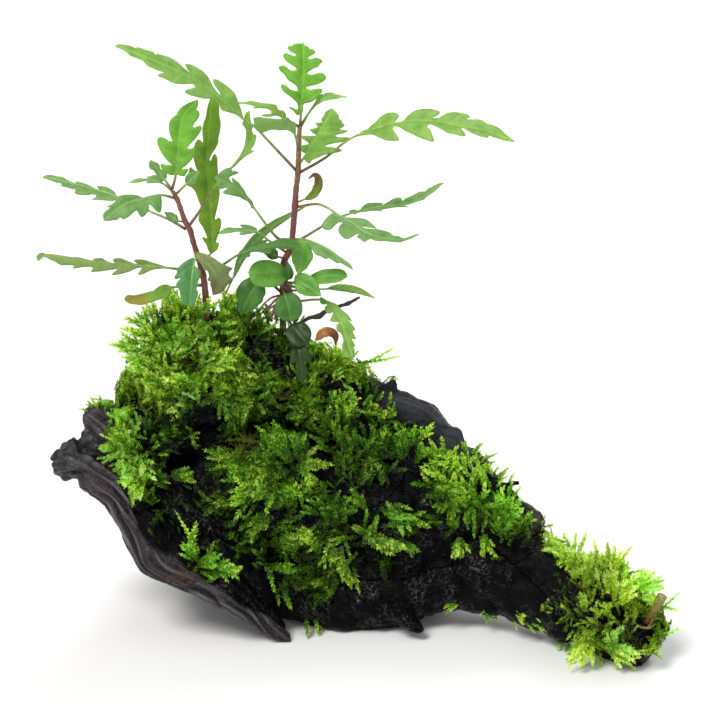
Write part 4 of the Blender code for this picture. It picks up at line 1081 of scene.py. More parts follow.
def grow_moss(moss, wood_tree, solid_trees):
    """One moss: its cushion, sprigs and fans, moved frond by frond to stay inside the solids' box."""
    parts = [cushion_fronds(moss, wood_tree, solid_trees)]
    if moss.node in SPRIGS:
        parts.append(sprig_fronds(SPRIGS[moss.node]))
    if moss.node in FANS:
        parts.append(fan_fronds(FANS[moss.node], (solid_trees[moss.node], wood_tree)))
    low, high = np.array(cad_box[0]), np.array(cad_box[1])
    for shapes, _, _ in parts:
        past = np.maximum(low - shapes.min(axis=1), 0) - np.maximum(shapes.max(axis=1) - high, 0)
        shapes += past[:, None]
    points = np.concatenate([part[0].reshape(-1, 3) for part in parts])
    values = {key: np.concatenate([part[k] for part in parts]) for k, key in ((1, "tone"), (2, "tint"))}
    name = moss.node + "_fronds"
    corners = np.arange(len(points)).reshape(-1, 4)
    obj = new_object(name, points, corners, moss_material(name, *moss.colours), values, False)
    stand_for(obj, "moss", moss.node)


# Leaves

Leaf = namedtuple("Leaf", "name finish half lobes stalk face line")
# Name/finish, then widest half width, pairs of lobes (for a leaf without an outline of its own), points
# of the line that belong to the stalk, the way the upper side faces, and the middle line (right, up,
# back) from the axis of the stem to the tip
LEAVES = [
    Leaf(*key.split("/"), rows[0][0], int(rows[0][1]), int(rows[0][2]), rows[1], rows[2:])
    for key, rows in tables_of(3, """
    leaf_top/fresh  8.4 5 1  0 -0.98 0.2  -24 93.6 30  -23.6 99 27  -23 108 25  -22.6 118 24  -22.8 126.4 24
    leaf_top_right/young  4.5 3 1  0 -0.45 0.89  -24 93 30  -20 99.5 28  -15.6 105 27  -10.5 106 26
        -5.6 105 25
    leaf_top_left/young  4.5 4 1  -0.06 -0.81 0.58  -24 93 30  -30 96.8 27  -34.8 100.8 26  -41 102.8 25
        -48 102.8 24
    leaf_inner_left/young  4.5 3 1  -0.44 0.7 0.55  -24.6 84 30  -26 90 22  -29 94.6 16  -35 95.6 11
        -42.4 94.8 7
    leaf_mid_right/young  6.8 5 1  -0.02 -1 0.07  -24.6 78.4 30  -22.4 81 27  -19 87 25  -14.6 94.4 24
        -11.2 100.4 23
    leaf_right_big/young  8.5 5 3  -0.05 -0.61 0.79  -24.8 74.6 30  -14 80.8 26  -6 87.2 22  0.4 90.4 19
        14.8 94.8 14  28 95.4 9  41.2 93.2 5  51.2 91.2 2  60.8 87.6 -1
    leaf_left_big/pale  8.5 6 3  0.1 -0.82 0.56  -24.8 75 30  -34 84.8 27  -42 93.2 25  -46.8 96.4 24
        -56.8 105.2 20  -66.8 112.4 16  -80.4 118.8 11  -93.2 124 7  -97.6 125.6 5
    leaf_curled/old  2 0 1  0.3 -1 0  -26 62.8 30  -22 64.4 26  -18.8 66.4 25  -16.9 69.8 24  -17 72.8 23.5
        -18.4 74.2 23  -20.4 72.8 22
    leaf_right_narrow/green  6 5 2  0.12 -0.47 0.88  -27.4 46 30  -12 55.2 37  -3.2 58.8 40  8 61.2 43
        20 62.6 46  26 65.4 47  32.8 70.4 49
    leaf_right_wide/green  8 4 3  -0.2 -0.48 0.85  -26 61 30  -17.6 62.4 26  -12.8 60.8 24  -9.2 58.4 22
        -3 54.6 18  2.8 50.6 14  10 48.4 9  16 48 5  22.8 50 1
    leaf_lower_right/green  5.6 3 1  -0.07 -0.72 0.69  -27.6 48.4 30  -21.2 48 25  -14 45 21  -8 40.8 18
        -3.2 36.4 15
    leaf_hanging/bright  4.3 0 1  0 -1 0.3  -28 46.4 30  -24.8 47.6 24.5  -23.2 43 22.5  -23.6 38.8 22
        -24.8 34.4 21
    leaf_left_top/fresh  8 5 1  0.1 -0.98 0.2  -75.2 68 24  -73.6 74.6 22  -72.6 86.4 20  -70.8 97.2 19
        -65.2 103.6 18
    leaf_left_dark/olive  5 6 1  0.45 -0.89 0  -64.4 39 24  -59.6 43 29  -59.4 52 31  -60.6 68 32  -61.4 78 32
        -60.6 92 32  -59.6 104.8 32
    leaf_left_drooping/green  6.4 4 1  0.09 -0.89 0.45  -73.4 64.6 24  -80 66 19  -87 64.6 17  -95 62 15
        -102 56.4 13
    leaf_far_left/green  6.4 5 2  -0.2 -0.66 0.73  -69.2 52 25  -76 56 28  -84.4 59.6 31  -96.8 65.2 34
        -105.2 68 37  -114 70.4 39  -126.4 73.2 42
    leaf_left_folded/green  4 2 1  -0.5 -1 0.4  -75 67.6 24  -78 72 25  -80.6 76 26  -83.6 80 26
    leaf_left_thin/green  2.4 2 1  0 -0.5 1  -74.6 67 24  -79 70.6 22  -85 71.8 20  -92.4 70.8 19
    leaf_left_small/green  3.4 1 1  0.3 -1 0.5  -74 66 24  -69.4 70.4 20  -66.6 73 18  -64 75.2 17
    leaf_left_tiny/green  1.8 0 1  0 -1 0.5  -70 55.4 24  -72.8 55.6 21  -75.6 57.4 20  -78 59 20
    leaf_left_long/faded  6.2 6 2  0.07 -0.8 0.6  -63.4 36 24  -72.8 36.4 18  -78 37 15  -92 38 8  -106 39.4 2
        -118 41.2 -2  -125 42 -4  -128.4 40 -5
    leaf_front_drooping/cool  5 3 1  0 -0.98 0.2  -65.4 43.4 24  -66 40.4 18  -67 35 15  -67.6 29 13
        -68 22 12
    leaf_crumpled/crumpled  5 0 1  0.2 -1 0.3  -65.4 43.4 24  -65.6 42.4 20  -62.2 39.6 18  -58.6 35.6 16.5
        -57.4 30.4 16  -58.6 26.2 15
    leaf_old_left/yellowing  4.4 3 1  0.2 -0.89 0.41  -62.4 30 24  -76 29 17  -82 27.6 14  -88 26 12
        -94 24.4 11
    leaf_crossing_left/green  5 2 2  0.17 -0.51 0.85  -27.2 48 30  -33.2 49 27  -42.4 60.8 24  -46.8 66 22
        -51 69.6 20  -58 72.8 19
    leaf_inner_right/young  4.4 3 3  -0.25 -0.96 0.12  -68.6 53.4 24  -64.4 59.2 26  -58 69.2 27
        -51.2 77.2 28  -46 85.2 29  -44.4 99.2 30
    leaf_low_crossing/mid  4 3 2  0 -0.5 1  -63.6 37.4 24  -56.8 37.2 20  -48 42.4 18  -39.2 44.4 17
        -31 45.6 17  -24 45.2 17
    leaf_rear_long/green  2 0 1  0.3 -1 0.3  -56 22 34  -50.8 32.8 37  -46.8 42 39  -37.2 52.4 43
        -22.4 61.2 46
    leaf_pale_small/green  3 2 2  0 -0.6 1  -28.8 42.6 30  -36.8 48 26  -41.2 51.2 24  -50 51.6 22
        -56.4 50.4 21
    leaf_round_left/bright  5.8 0 1  0 -1 0.35  -30.6 37.4 30  -30.2 34.4 24.5  -37.4 34.6 21.5  -44.6 35 20
    leaf_round_low/mid  5.4 0 1  0 -1 0.3  -30.8 29 30  -30 26 23  -28.4 20.6 20  -27.6 15.6 19
    leaf_smooth_right/bright  4.2 0 1  0 -0.5 1  -30.8 31 30  -22 31 25  -13.6 33.2 22  -5.2 33.2 20
    leaf_basal_small/bright  4.2 0 1  -0.3 -1 0.5  -30.8 26 30  -26 31.4 22  -21 29.6 18.5  -15.8 25.8 17
    leaf_dark_left/mid  5.6 0 1  0 -1 0.4  -30.8 26.6 30  -38.4 32 26  -43.2 27.4 23.5  -48 17.6 22
    leaf_thin_right/young  2.2 0 1  0 -0.5 1  -30.8 27.6 30  -13 28.4 31  -3 28 31  5.6 24.8 31
    leaf_lobed_drooping/young  5 4 1  0.27 -0.89 0.36  -30.8 22.6 30  -15.2 24 26  -9.2 18 22  -6 10 18
        -3.2 1.2 16
    leaf_dead/dead  2 0 0  0 -1 0.5  -17.4 8 19  -15 10.6 18  -12 11.2 18  -9.8 9.4 18  -9.8 6.2 18
    leaf_dark_low/gloom  4.8 0 1  0.2 -1 0.4  -30.8 19 30  -27 13.6 20  -24 9.6 16  -20.8 6.4 14
    leaf_dark_hanging/gloom  4.6 2 0  0 -1 0.3  -25.2 6 15  -24 1 12  -23.2 -9 10
    leaf_between_stems/shade  2.6 0 1  0 -0.8 0.6  -29.8 40.6 30  -33 41.4 26  -36 42.8 25  -39.4 43.8 24
    leaf_small_upright/mid  2.2 0 1  0.2 -1 0  -30.6 31 30  -28.8 32.4 25.4  -28.8 35.4 22.6  -29 39.2 21.6
""").items()
]
# The slot of a leaf, by its name or its finish, where it isn't "leaf"
LEAF_SLOTS = {
    **dict.fromkeys(("shade", "gloom", "olive"), "dark_leaf"),
    **dict.fromkeys(("leaf_front_drooping", "leaf_hanging", "leaf_low_crossing"), "dark_leaf"),
    **dict.fromkeys(("old", "crumpled", "dead", "yellowing", "leaf_thin_right"), "old_leaf"),
}
# The material of a leaf's stalk, by its finish, where it isn't "leaf_stalk"; "gloom_stalk" darkens the stalks
# of leaves in deep shade as painted shade, and "mid_stalk" is darker for leaves whose midrib shows little,
# shaded ones among them
LEAF_STALKS = {
    **dict.fromkeys(("dead", "old", "crumpled"), "old_stalk"),
    **dict.fromkeys(("mid", "shade", "bright"), "mid_stalk"),
    "gloom": "gloom_stalk",
}
# Colours of each finish: dark and light mottling, underside, and the spots of an old leaf; "shade" and
# "gloom" darken the green of leaves that lie in shadow, as painted shade
FINISHES = {
    "pale": ((0.195, 0.375, 0.08), (0.36, 0.55, 0.165), (0.34, 0.50, 0.24)),
    "young": ((0.16, 0.335, 0.055), (0.31, 0.49, 0.12), (0.32, 0.48, 0.22)),
    "fresh": ((0.135, 0.36, 0.032), (0.27, 0.53, 0.08), (0.28, 0.48, 0.16)),
    "green": ((0.115, 0.26, 0.07), (0.24, 0.41, 0.14), (0.28, 0.41, 0.22)),
    "bright": ((0.10, 0.30, 0.04), (0.22, 0.46, 0.09), (0.25, 0.42, 0.14)),
    "faded": ((0.165, 0.265, 0.06), (0.29, 0.40, 0.14), (0.30, 0.40, 0.20)),
    "mid": ((0.045, 0.15, 0.025), (0.10, 0.26, 0.05), (0.15, 0.28, 0.10)),
    "cool": ((0.08, 0.24, 0.075), (0.15, 0.36, 0.12), (0.20, 0.36, 0.18)),
    "shade": ((0.030, 0.095, 0.015), (0.075, 0.18, 0.03), (0.12, 0.22, 0.09)),
    "gloom": ((0.014, 0.040, 0.008), (0.035, 0.080, 0.016), (0.06, 0.11, 0.05)),
    "crumpled": ((0.13, 0.20, 0.055), (0.25, 0.33, 0.13), (0.20, 0.25, 0.12), (0.17, 0.185, 0.075)),
    "olive": ((0.13, 0.26, 0.02), (0.28, 0.46, 0.045), (0.28, 0.38, 0.10)),
    "old": ((0.14, 0.26, 0.03), (0.28, 0.38, 0.06), (0.28, 0.30, 0.10), (0.19, 0.115, 0.035)),
    "yellowing": ((0.14, 0.32, 0.04), (0.28, 0.46, 0.07), (0.28, 0.40, 0.12), (0.40, 0.34, 0.07)),
    "dead": ((0.36, 0.14, 0.03), (0.48, 0.22, 0.06), (0.40, 0.20, 0.08), (0.16, 0.06, 0.02)),
}
# Colours of stems and stalks where "tone" is low and where it is high
STEM_COLOURS = {
    "leaf_stalk": ((0.14, 0.045, 0.03), (0.22, 0.38, 0.08)),
    "old_stalk": ((0.10, 0.05, 0.025), (0.22, 0.18, 0.05)),
    "mid_stalk": ((0.10, 0.04, 0.025), (0.09, 0.21, 0.04)),
    "gloom_stalk": ((0.05, 0.03, 0.015), (0.022, 0.055, 0.012)),
    "stem_skin": ((0.15, 0.04, 0.028), (0.26, 0.19, 0.08)),
    "twig_bark": ((0.05, 0.028, 0.014), (0.10, 0.06, 0.03)),
    "cut_twig": ((0.13, 0.05, 0.018), (0.20, 0.20, 0.03)),
}
# The outline of each side of a blade (- and +) from base to tip, as (hundredths of the blade's length,
# tenths of a millimetre from the midrib); the other leaves get an outline from their numbers
OUTLINES = tables_of(2, """
    leaf_left_big-  0 0 4 2 9 15 17 36 22 25 25 23 28 31 33 50 39 63 44 71 47 71 48 67 47 57 44 42 42 29
        44 23 47 34 54 54 59 59 64 57 68 57 69 52 68 44 66 34 72 36 77 36 79 31 81 23 85 21 90 21 93 10
        100 6
    leaf_left_big+  0 2 8 29 14 46 18 52 24 54 29 52 32 46 33 36 30 25 26 19 23 10 29 15 34 27 37 36 41 42
        45 44 49 44 53 38 53 31 51 21 48 13 53 19 57 27 62 34 67 34 73 27 74 21 76 27 81 25 86 23 88 17
        92 17 99 8 100 0
    leaf_left_top-  -5 0 -1 22 2 39 6 57 10 65 14 63 13 45 13 24 21 47 28 65 35 79 40 85 45 83 47 71 46 55
        43 37 44 28 49 35 55 43 62 47 67 45 71 37 73 30 75 28 79 28 86 24 94 16 100 6 101 0
    leaf_left_top+  -5 10 0 32 4 41 8 47 9 39 8 20 14 39 21 57 27 65 33 71 38 65 36 45 37 37 40 41 45 55
        53 73 61 83 69 81 70 71 65 55 66 47 70 49 83 53 90 49 93 41 94 30 93 22 96 18 99 10 101 2
    leaf_left_dark-  0 23 5 30 9 43 11 44 10 26 13 31 18 44 23 57 30 43 36 53 42 64 47 85 52 84 57 75 55 59
        54 44 56 49 60 58 64 63 69 62 73 54 74 42 72 25 77 30 81 32 85 28 88 21 93 18 97 12 100 0
    leaf_left_dark+  2 17 4 23 6 26 7 14 13 30 17 39 20 41 22 31 21 18 22 15 27 25 32 36 37 44 41 44 46 44
        57 44 61 42 64 32 63 22 60 15 60 10 64 17 68 33 72 43 74 42 80 48 84 48 89 39 95 34 99 18 100 0
    leaf_left_drooping-  -5 28 -4 46 3 65 10 71 15 58 22 32 25 52 31 66 38 74 42 65 44 47 47 44 53 49 63 55
        77 52 79 38 86 35 91 27 99 13 102 5
    leaf_left_drooping+  -5 0 6 0 19 0 29 3 37 17 48 27 58 35 65 36 73 25 81 30 85 30 82 20 91 22 98 17
        102 0
    leaf_far_left-  -1 6 16 0 29 17 32 30 38 39 45 47 50 54 50 49 48 33 51 28 56 39 61 46 66 49 68 46 68 32
        71 32 77 30 81 30 83 16 87 17 92 13 100 8
    leaf_far_left+  0 5 17 8 31 0 34 11 40 19 46 20 51 14 51 9 49 0 53 2 60 9 65 11 71 9 71 3 77 6 83 13
        89 13 96 11 100 0
    leaf_left_long-  -5 11 6 11 10 15 15 26 20 40 24 43 22 26 20 9 25 17 30 31 36 44 43 52 44 47 40 26
        44 31 51 41 57 47 60 49 59 31 63 31 69 40 74 47 73 35 79 38 83 41 88 29 93 20 96 0 100 0
    leaf_left_long+  -5 0 5 9 11 15 16 21 21 24 25 21 26 15 23 6 27 8 32 15 36 21 40 21 43 12 41 2 45 3
        49 9 52 15 58 9 58 0 62 3 67 6 71 6 74 0 78 0 84 0 90 0 94 6 96 17 100 17 101 3
    leaf_inner_right-  4 0 15 0 29 1 42 0 54 4 71 7 78 20 81 22 85 16 92 15 99 9 101 0
    leaf_inner_right+  5 9 18 12 30 22 40 43 40 29 48 37 58 41 64 40 65 30 71 21 78 24 85 13 101 0
    leaf_crossing_left-  3 10 9 24 11 10 21 14 34 29 48 39 62 56 75 69 81 65 75 34 88 53 94 37 100 0
    leaf_crossing_left+  4 5 13 10 22 9 31 10 40 17 51 24 62 28 71 29 66 9 75 20 72 36 66 53 58 75 60 75
        66 75 72 66 78 75 89 52 100 0
    leaf_top_left-  3 11 10 11 19 19 32 41 48 51 53 47 35 30 34 20 43 16 56 22 77 28 72 19 86 9 102 3
    leaf_top_left+  -1 0 4 12 13 17 21 8 25 8 30 14 38 11 53 1 62 3 70 4 82 7 90 0 102 0
    leaf_inner_left-  22 24 30 13 39 19 44 18 52 9 63 8 78 11 89 19 98 23 102 18 100 0
    leaf_inner_left+  1 3 13 13 21 29 30 48 53 59 57 63 64 72 74 76 82 74 92 45 99 4
    leaf_top-  -5 14 -2 17 2 25 5 35 8 48 10 41 6 21 7 14 11 14 16 19 22 35 28 58 32 75 36 83 39 87 42 81
        41 66 37 50 35 35 34 23 36 19 40 23 45 37 49 56 53 66 58 77 62 91 68 97 70 89 70 72 66 56 64 41
        66 27 69 33 73 50 77 66 82 77 87 79 89 68 87 54 85 37 86 29 88 35 91 50 94 58 96 62 99 54 99 41
        101 39 102 19 101 6
    leaf_top+  -5 6 5 8 14 8 19 31 24 52 29 66 36 79 39 75 40 64 39 48 37 29 39 14 42 25 44 48 48 72 52 87
        56 91 60 83 62 68 61 52 59 33 60 17 64 25 67 41 70 58 74 68 76 75 79 70 82 52 81 37 80 27 82 19
        84 29 86 41 89 48 93 39 94 27 97 21 99 6 101 0
    leaf_top_right-  -5 0 18 0 46 10 49 1 53 8 66 8 78 1 89 0 100 1
    leaf_top_right+  -5 30 12 17 22 19 42 39 61 41 77 37 89 24 89 17 100 0
    leaf_mid_right-  -5 2 4 5 9 2 10 15 13 25 20 34 27 13 29 12 31 28 32 44 36 49 41 30 46 2 48 8 49 25
        52 37 61 15 65 27 68 27 72 10 77 18 85 17 93 17 101 0
    leaf_mid_right+  -5 30 -1 30 6 32 15 47 25 67 31 82 41 109 47 116 46 94 42 69 40 50 44 57 53 80 63 107
        71 116 70 102 65 82 63 64 67 70 74 87 81 97 79 82 77 67 81 70 87 75 89 59 92 57 93 44 98 34 101 15
        101 0
    leaf_right_big-  -1 0 2 8 5 8 8 15 12 25 15 38 18 46 22 44 25 38 27 25 26 15 24 2 27 2 30 6 33 23 36 38
        40 46 44 48 48 46 52 40 52 31 50 19 48 13 52 15 54 25 56 36 58 44 62 52 66 54 69 52 71 42 69 31
        73 34 76 40 79 38 82 29 85 29 89 27 94 15 98 8 101 0
    leaf_right_big+  -1 13 3 21 9 34 14 59 19 80 25 92 29 96 29 84 27 65 24 36 25 25 29 38 34 59 40 77
        45 90 50 98 53 101 54 92 52 73 50 52 47 34 49 23 52 31 56 40 61 50 65 52 70 54 72 52 72 44 70 29
        68 17 69 10 72 21 76 34 81 40 86 36 86 23 89 23 93 21 96 19 101 0
    leaf_right_wide-  -1 4 10 6 17 18 23 32 30 43 38 43 44 35 47 28 43 28 35 20 30 14 34 14 42 22 48 28
        56 30 64 26 70 16 77 14 84 2 94 4 101 0
    leaf_right_wide+  -5 20 -4 37 -4 61 -3 81 1 93 5 91 8 77 9 53 10 34 13 30 13 47 15 67 20 77 26 79 30 71
        32 51 33 35 35 28 35 43 40 47 45 51 47 39 49 28 53 30 59 28 66 18 75 20 83 24 90 24 97 22 102 8
    leaf_right_narrow-  -5 0 -2 9 2 12 8 1 13 15 18 22 23 22 33 13 32 6 39 15 43 24 47 30 53 27 54 15 59 24
        66 28 73 30 78 24 81 16 86 18 91 13 96 10 101 0
    leaf_right_narrow+  -5 7 3 22 4 13 11 18 18 22 29 35 33 50 29 28 36 25 44 21 52 22 59 28 54 10 59 9
        67 1 77 16 77 10 84 10 92 10 101 3
    leaf_lower_right-  -5 0 -5 0 1 0 14 0 22 0 37 0 41 0 53 0 66 0 80 6 93 8 100 1
    leaf_lower_right+  29 47 40 46 53 43 56 33 62 32 75 28 78 18 89 10 100 0
    leaf_lobed_drooping-  -2 12 6 5 14 10 20 20 29 25 35 31 41 39 50 43 44 23 49 34 56 42 63 46 65 33 76 36
        75 20 85 25 86 18 92 16 102 1
    leaf_lobed_drooping+  -5 0 -1 14 6 18 12 10 13 27 22 37 27 28 28 10 35 36 41 36 46 7 48 21 53 28 58 27
        62 16 72 16 79 30 95 34 102 0
    leaf_front_drooping-  -4 0 14 0 22 27 30 34 41 32 49 26 57 32 62 22 70 30 80 28 91 22 102 14 102 0
    leaf_front_drooping+  -5 16 9 32 19 51 28 63 35 62 43 69 48 64 45 46 58 60 68 46 84 38 94 30 102 17
        102 9
    leaf_old_left-  7 36 23 39 35 39 48 41 68 42 81 34 94 23 100 10
    leaf_old_left+  9 14 22 14 36 5 35 0 44 0 66 1 69 0 80 5 91 12 99 7
    leaf_round_left-  0 6 5 26 12 40 24 50 40 55 56 56 72 54 85 46 94 32 99 14 100 4
    leaf_round_left+  0 6 5 24 12 38 24 47 40 53 56 55 72 52 85 43 94 30 99 14 100 4
    leaf_round_low-  0 8 6 28 14 42 26 52 42 56 58 55 74 49 87 38 96 22 100 6
    leaf_round_low+  0 8 6 27 14 40 26 50 42 55 58 55 74 50 87 39 96 22 100 6
    leaf_smooth_right-  0 5 10 20 24 32 40 37 60 38 78 36 90 29 97 17 100 6
    leaf_smooth_right+  0 6 10 25 24 39 40 45 60 46 78 42 90 33 97 19 100 6
    leaf_dark_low-  0 8 6 28 16 43 30 50 48 52 66 49 82 40 93 24 100 6
    leaf_dark_low+  0 8 6 26 16 40 30 47 48 50 66 48 82 39 93 24 100 6
    leaf_low_crossing-  0 8 10 14 22 22 34 36 44 40 48 32 46 18 56 22 68 36 80 38 92 26 100 6
    leaf_low_crossing+  0 10 8 30 16 40 20 36 18 20 30 22 42 36 50 40 54 30 52 16 66 22 80 26 92 18 100 4
    leaf_crumpled-  0 10 10 18 22 28 34 34 46 42 53 60 58 74 61 58 66 54 72 66 76 56 80 40 88 30 96 16
        100 4
    leaf_crumpled+  0 8 12 16 24 20 36 28 42 22 55 26 64 36 70 26 78 28 86 22 94 12 100 3
""")
# One pointed lobe, and the one at the tip, as (share of its length, share of its width)
LOBE = rows_of(2, "0.12 0.45  0.35 0.74  0.62 0.95  0.86 1.0  0.97 0.86  0.9 0.6  0.84 0.4")
END_LOBE = rows_of(2, "0.12 0.5  0.3 0.72  0.5 0.74  0.7 0.55  0.88 0.28")


def plain_outline(leaf, chance):
    """One side of a leaf that has no outline of its own: pointed lobes that lean forward, or an oval."""
    if not leaf.lobes:
        share = np.linspace(0, 1, 15)
        half = leaf.half * np.sin(np.pi * share**0.8) ** 0.75 * chance.uniform(0.93, 1.05, 15)
        return np.stack([share, half], axis=1)
    rows = [(0.0, 0.08 * leaf.half)]
    wide = 1 / leaf.lobes
    for k in range(leaf.lobes):
        start = k * wide + chance.uniform(-0.1, 0.1) * wide
        oval = leaf.half * math.sin(math.pi * min(1, (k + 0.62) * wide) ** 0.9) ** 0.6
        oval *= chance.uniform(0.85, 1.12)
        rows += [(start + x * wide, y * oval) for x, y in (LOBE if k < leaf.lobes - 1 else END_LOBE)]
    return np.array(rows)


def rounded(points):
    """A smooth curve through POINTS of a flat outline."""
    ends = np.concatenate([[points[0]], points, [points[-1]]])
    fours = zip(ends, ends[1:], ends[2:], ends[3:])
    return np.array([*(curved(*four, t) for four in fours for t in (0, 0.25, 0.5, 0.75)), points[-1]])


def lobe_tips(points):
    """The points of an outline that stand out from both their neighbouring notches."""
    tips = []
    reach = points[:, 1]
    for k in range(1, len(points) - 1):
        if reach[k] < reach[k - 1] or reach[k] <= reach[k + 1]:
            continue
        before, after = reach[:k], reach[k + 1:]
        higher = np.flatnonzero(before > reach[k])
        low_before = before[higher[-1]:].min() if len(higher) else before.min()
        higher = np.flatnonzero(after > reach[k])
        low_after = after[: higher[0] + 1].min() if len(higher) else after.min()
        if reach[k] - max(low_before, low_after) > LEAST_LOBE:
            tips.append(points[k])
    return tips


def segment_gaps(spots, starts, ends):
    """Distance of each of SPOTS from the nearest of the segments."""
    span = ends - starts
    share = np.sum((spots[:, None] - starts[None]) * span[None], axis=2)
    share = np.clip(share / np.maximum(np.sum(span**2, axis=1), 1e-9)[None], 0, 1)
    foot = starts[None] + span[None] * share[..., None]
    return np.linalg.norm(spots[:, None] - foot, axis=2).min(axis=1)


def inside(spots, outline):
    """Which of SPOTS lie in the closed OUTLINE."""
    x, y = spots[:, None, 0], spots[:, None, 1]
    a, b = outline[None], np.roll(outline, -1, axis=0)[None]
    crosses = (a[..., 1] > y) != (b[..., 1] > y)
    rise = np.where(b[..., 1] == a[..., 1], 1e-9, b[..., 1] - a[..., 1])
    at = a[..., 0] + (y - a[..., 1]) * (b[..., 0] - a[..., 0]) / rise
    return np.sum(crosses & (x < at), axis=1) % 2 == 1


def flat_outline(leaf, length, chance):
    """The outline of a blade laid flat, in mm, and the side veins to the tips of its lobes."""
    halves, veins = [], []
    for side, sign in (("-", -1), ("+", 1)):
        if leaf.name + side in OUTLINES:
            rows = np.array(OUTLINES[leaf.name + side]) * np.array([0.01 * length, 0.1])
        else:
            rows = plain_outline(leaf, chance) * np.array([length, 1])
        rows = rows[rows[:, 0] > -0.04 * length]
        first, last = [min(0.0, rows[0, 0]) - 0.3, 0.4], [max(length, rows[-1, 0] + 0.4), 0.05]
        rows = np.concatenate([[first], np.maximum(rows, [-99, 0.35]), [last]])
        halves.append(rounded(rows) * np.array([1, sign]))
        for tip in lobe_tips(rows):
            lean = 0.75 * tip[1]
            veins.append(((max(0.2, tip[0] - lean), 0.0), (tip[0] - 0.08 * lean, 0.88 * sign * tip[1])))
    outline = np.concatenate([halves[0], halves[1][::-1]])
    return outline[np.linalg.norm(outline - np.roll(outline, 1, axis=0), axis=1) > 0.03], veins


def flat_blade(leaf, length, chance):
    """A blade laid flat, in mm: points (along, across), triangles, side veins and outline."""
    outline, veins = flat_outline(leaf, length, chance)
    low, high = outline.min(axis=0), outline.max(axis=0)
    columns, rows = (np.arange(low[k], high[k], LEAF_STEP) for k in (0, 1))
    grid = np.stack(np.meshgrid(columns, rows), -1)
    grid[1::2, :, 0] += 0.5 * LEAF_STEP
    grid = grid.reshape(-1, 2)
    grid = grid[inside(grid, outline)]
    lines = [((0.0, 0.0), (length - 0.3, 0.0)), *veins]
    starts = np.array([line[0] for line in lines])
    ends = np.array([line[1] for line in lines])
    border = segment_gaps(grid, outline, np.roll(outline, -1, axis=0))
    grid = grid[(border > LEAF_MARGIN) & (segment_gaps(grid, starts, ends) > LEAF_MARGIN)]
    points, edges = [*outline, *grid], []
    for start, end in zip(starts, ends):
        steps = max(2, int(np.linalg.norm(end - start) / LEAF_STEP))
        edges += [(len(points) + k, len(points) + k + 1) for k in range(steps)]
        points += [*(start + (end - start) * np.linspace(0, 1, steps + 1)[:, None])]
    flat = delaunay_2d_cdt([Vector(p) for p in points], edges, [list(range(len(outline)))], 1, 1e-5)
    spots = np.array([tuple(v) for v in flat[0]])
    faces = np.array([tuple(f) for f in flat[2]])
    faces = faces[inside(spots[faces].mean(axis=1), outline)]
    used, faces = np.unique(faces, return_inverse=True)
    return spots[used], faces.reshape(-1, 3), (starts[1:], ends[1:]), outline


def leaf_blade(leaf, line, base, number):
    """A closed thin blade: points, triangles and its values at the points."""
    chance = np.random.default_rng(100 + number)
    length = (line[1][-1] - base) / MM
    spots, faces, veins, outline = flat_blade(leaf, length, chance)
    distance = base + spots[:, 0] * MM
    places, ways = along(line, distance)
    places += ways * np.maximum(0, distance - line[1][-1])[:, None]
    side = unit(np.cross(ways, np.array(leaf.face)))
    up = np.cross(side, ways)
    reach = np.abs(spots[:, 1])
    edge = segment_gaps(spots, outline, np.roll(outline, -1, axis=0))
    vein = segment_gaps(spots, *veins) if len(veins[0]) else np.full(len(spots), 2.0)
    flat = np.stack([spots[:, 0], spots[:, 1], np.full(len(spots), 9.0 * number)], axis=1) * MM
    wave = noise(flat, 5.5, 41) * 0.10 + noise(flat, 2.6, 42) * 0.04
    lift = LEAF_FOLD * reach + 0.09 * leaf.half * np.sin(np.pi * np.minimum(1, reach / leaf.half))
    lift += wave * np.minimum(reach, 4) + 0.22 * (1 - np.exp(-((np.minimum(vein, reach) / 0.9) ** 2)))
    lift -= 0.012 * reach**2
    thick = MARGIN_THICK + (LEAF_THICK - MARGIN_THICK) * np.clip(edge / 1.5, 0, 1)
    middle = places + side * (spots[:, 1:] * MM) + up * (lift * MM)[:, None]
    rise = up * (0.5 * thick * MM)[:, None]
    count = len(spots)
    area = np.cross(spots[faces[:, 1]] - spots[faces[:, 0]], spots[faces[:, 2]] - spots[faces[:, 0]])
    top = np.where(area[:, None] > 0, faces[:, ::-1], faces)
    ways_round = np.concatenate([top[:, [0, 1]], top[:, [1, 2]], top[:, [2, 0]]])
    known = {tuple(pair) for pair in ways_round.tolist()}
    a, b = np.array([pair for pair in known if (pair[1], pair[0]) not in known]).T
    rim = split(np.stack([b, a, a + count, b + count], axis=1))
    values = {
        "rib": np.tile(reach, 2),
        "vein": np.tile(vein, 2),
        "edge": np.tile(edge, 2),
        "tone": np.ones(2 * count),
        "under": np.repeat([0.0, 1.0], count),
        "share": np.tile(np.clip(spots[:, 0] / length, 0, 1), 2),
    }
    points = np.concatenate([middle + rise, middle - rise])
    return points, np.concatenate([top, top[:, ::-1] + count, rim]), values


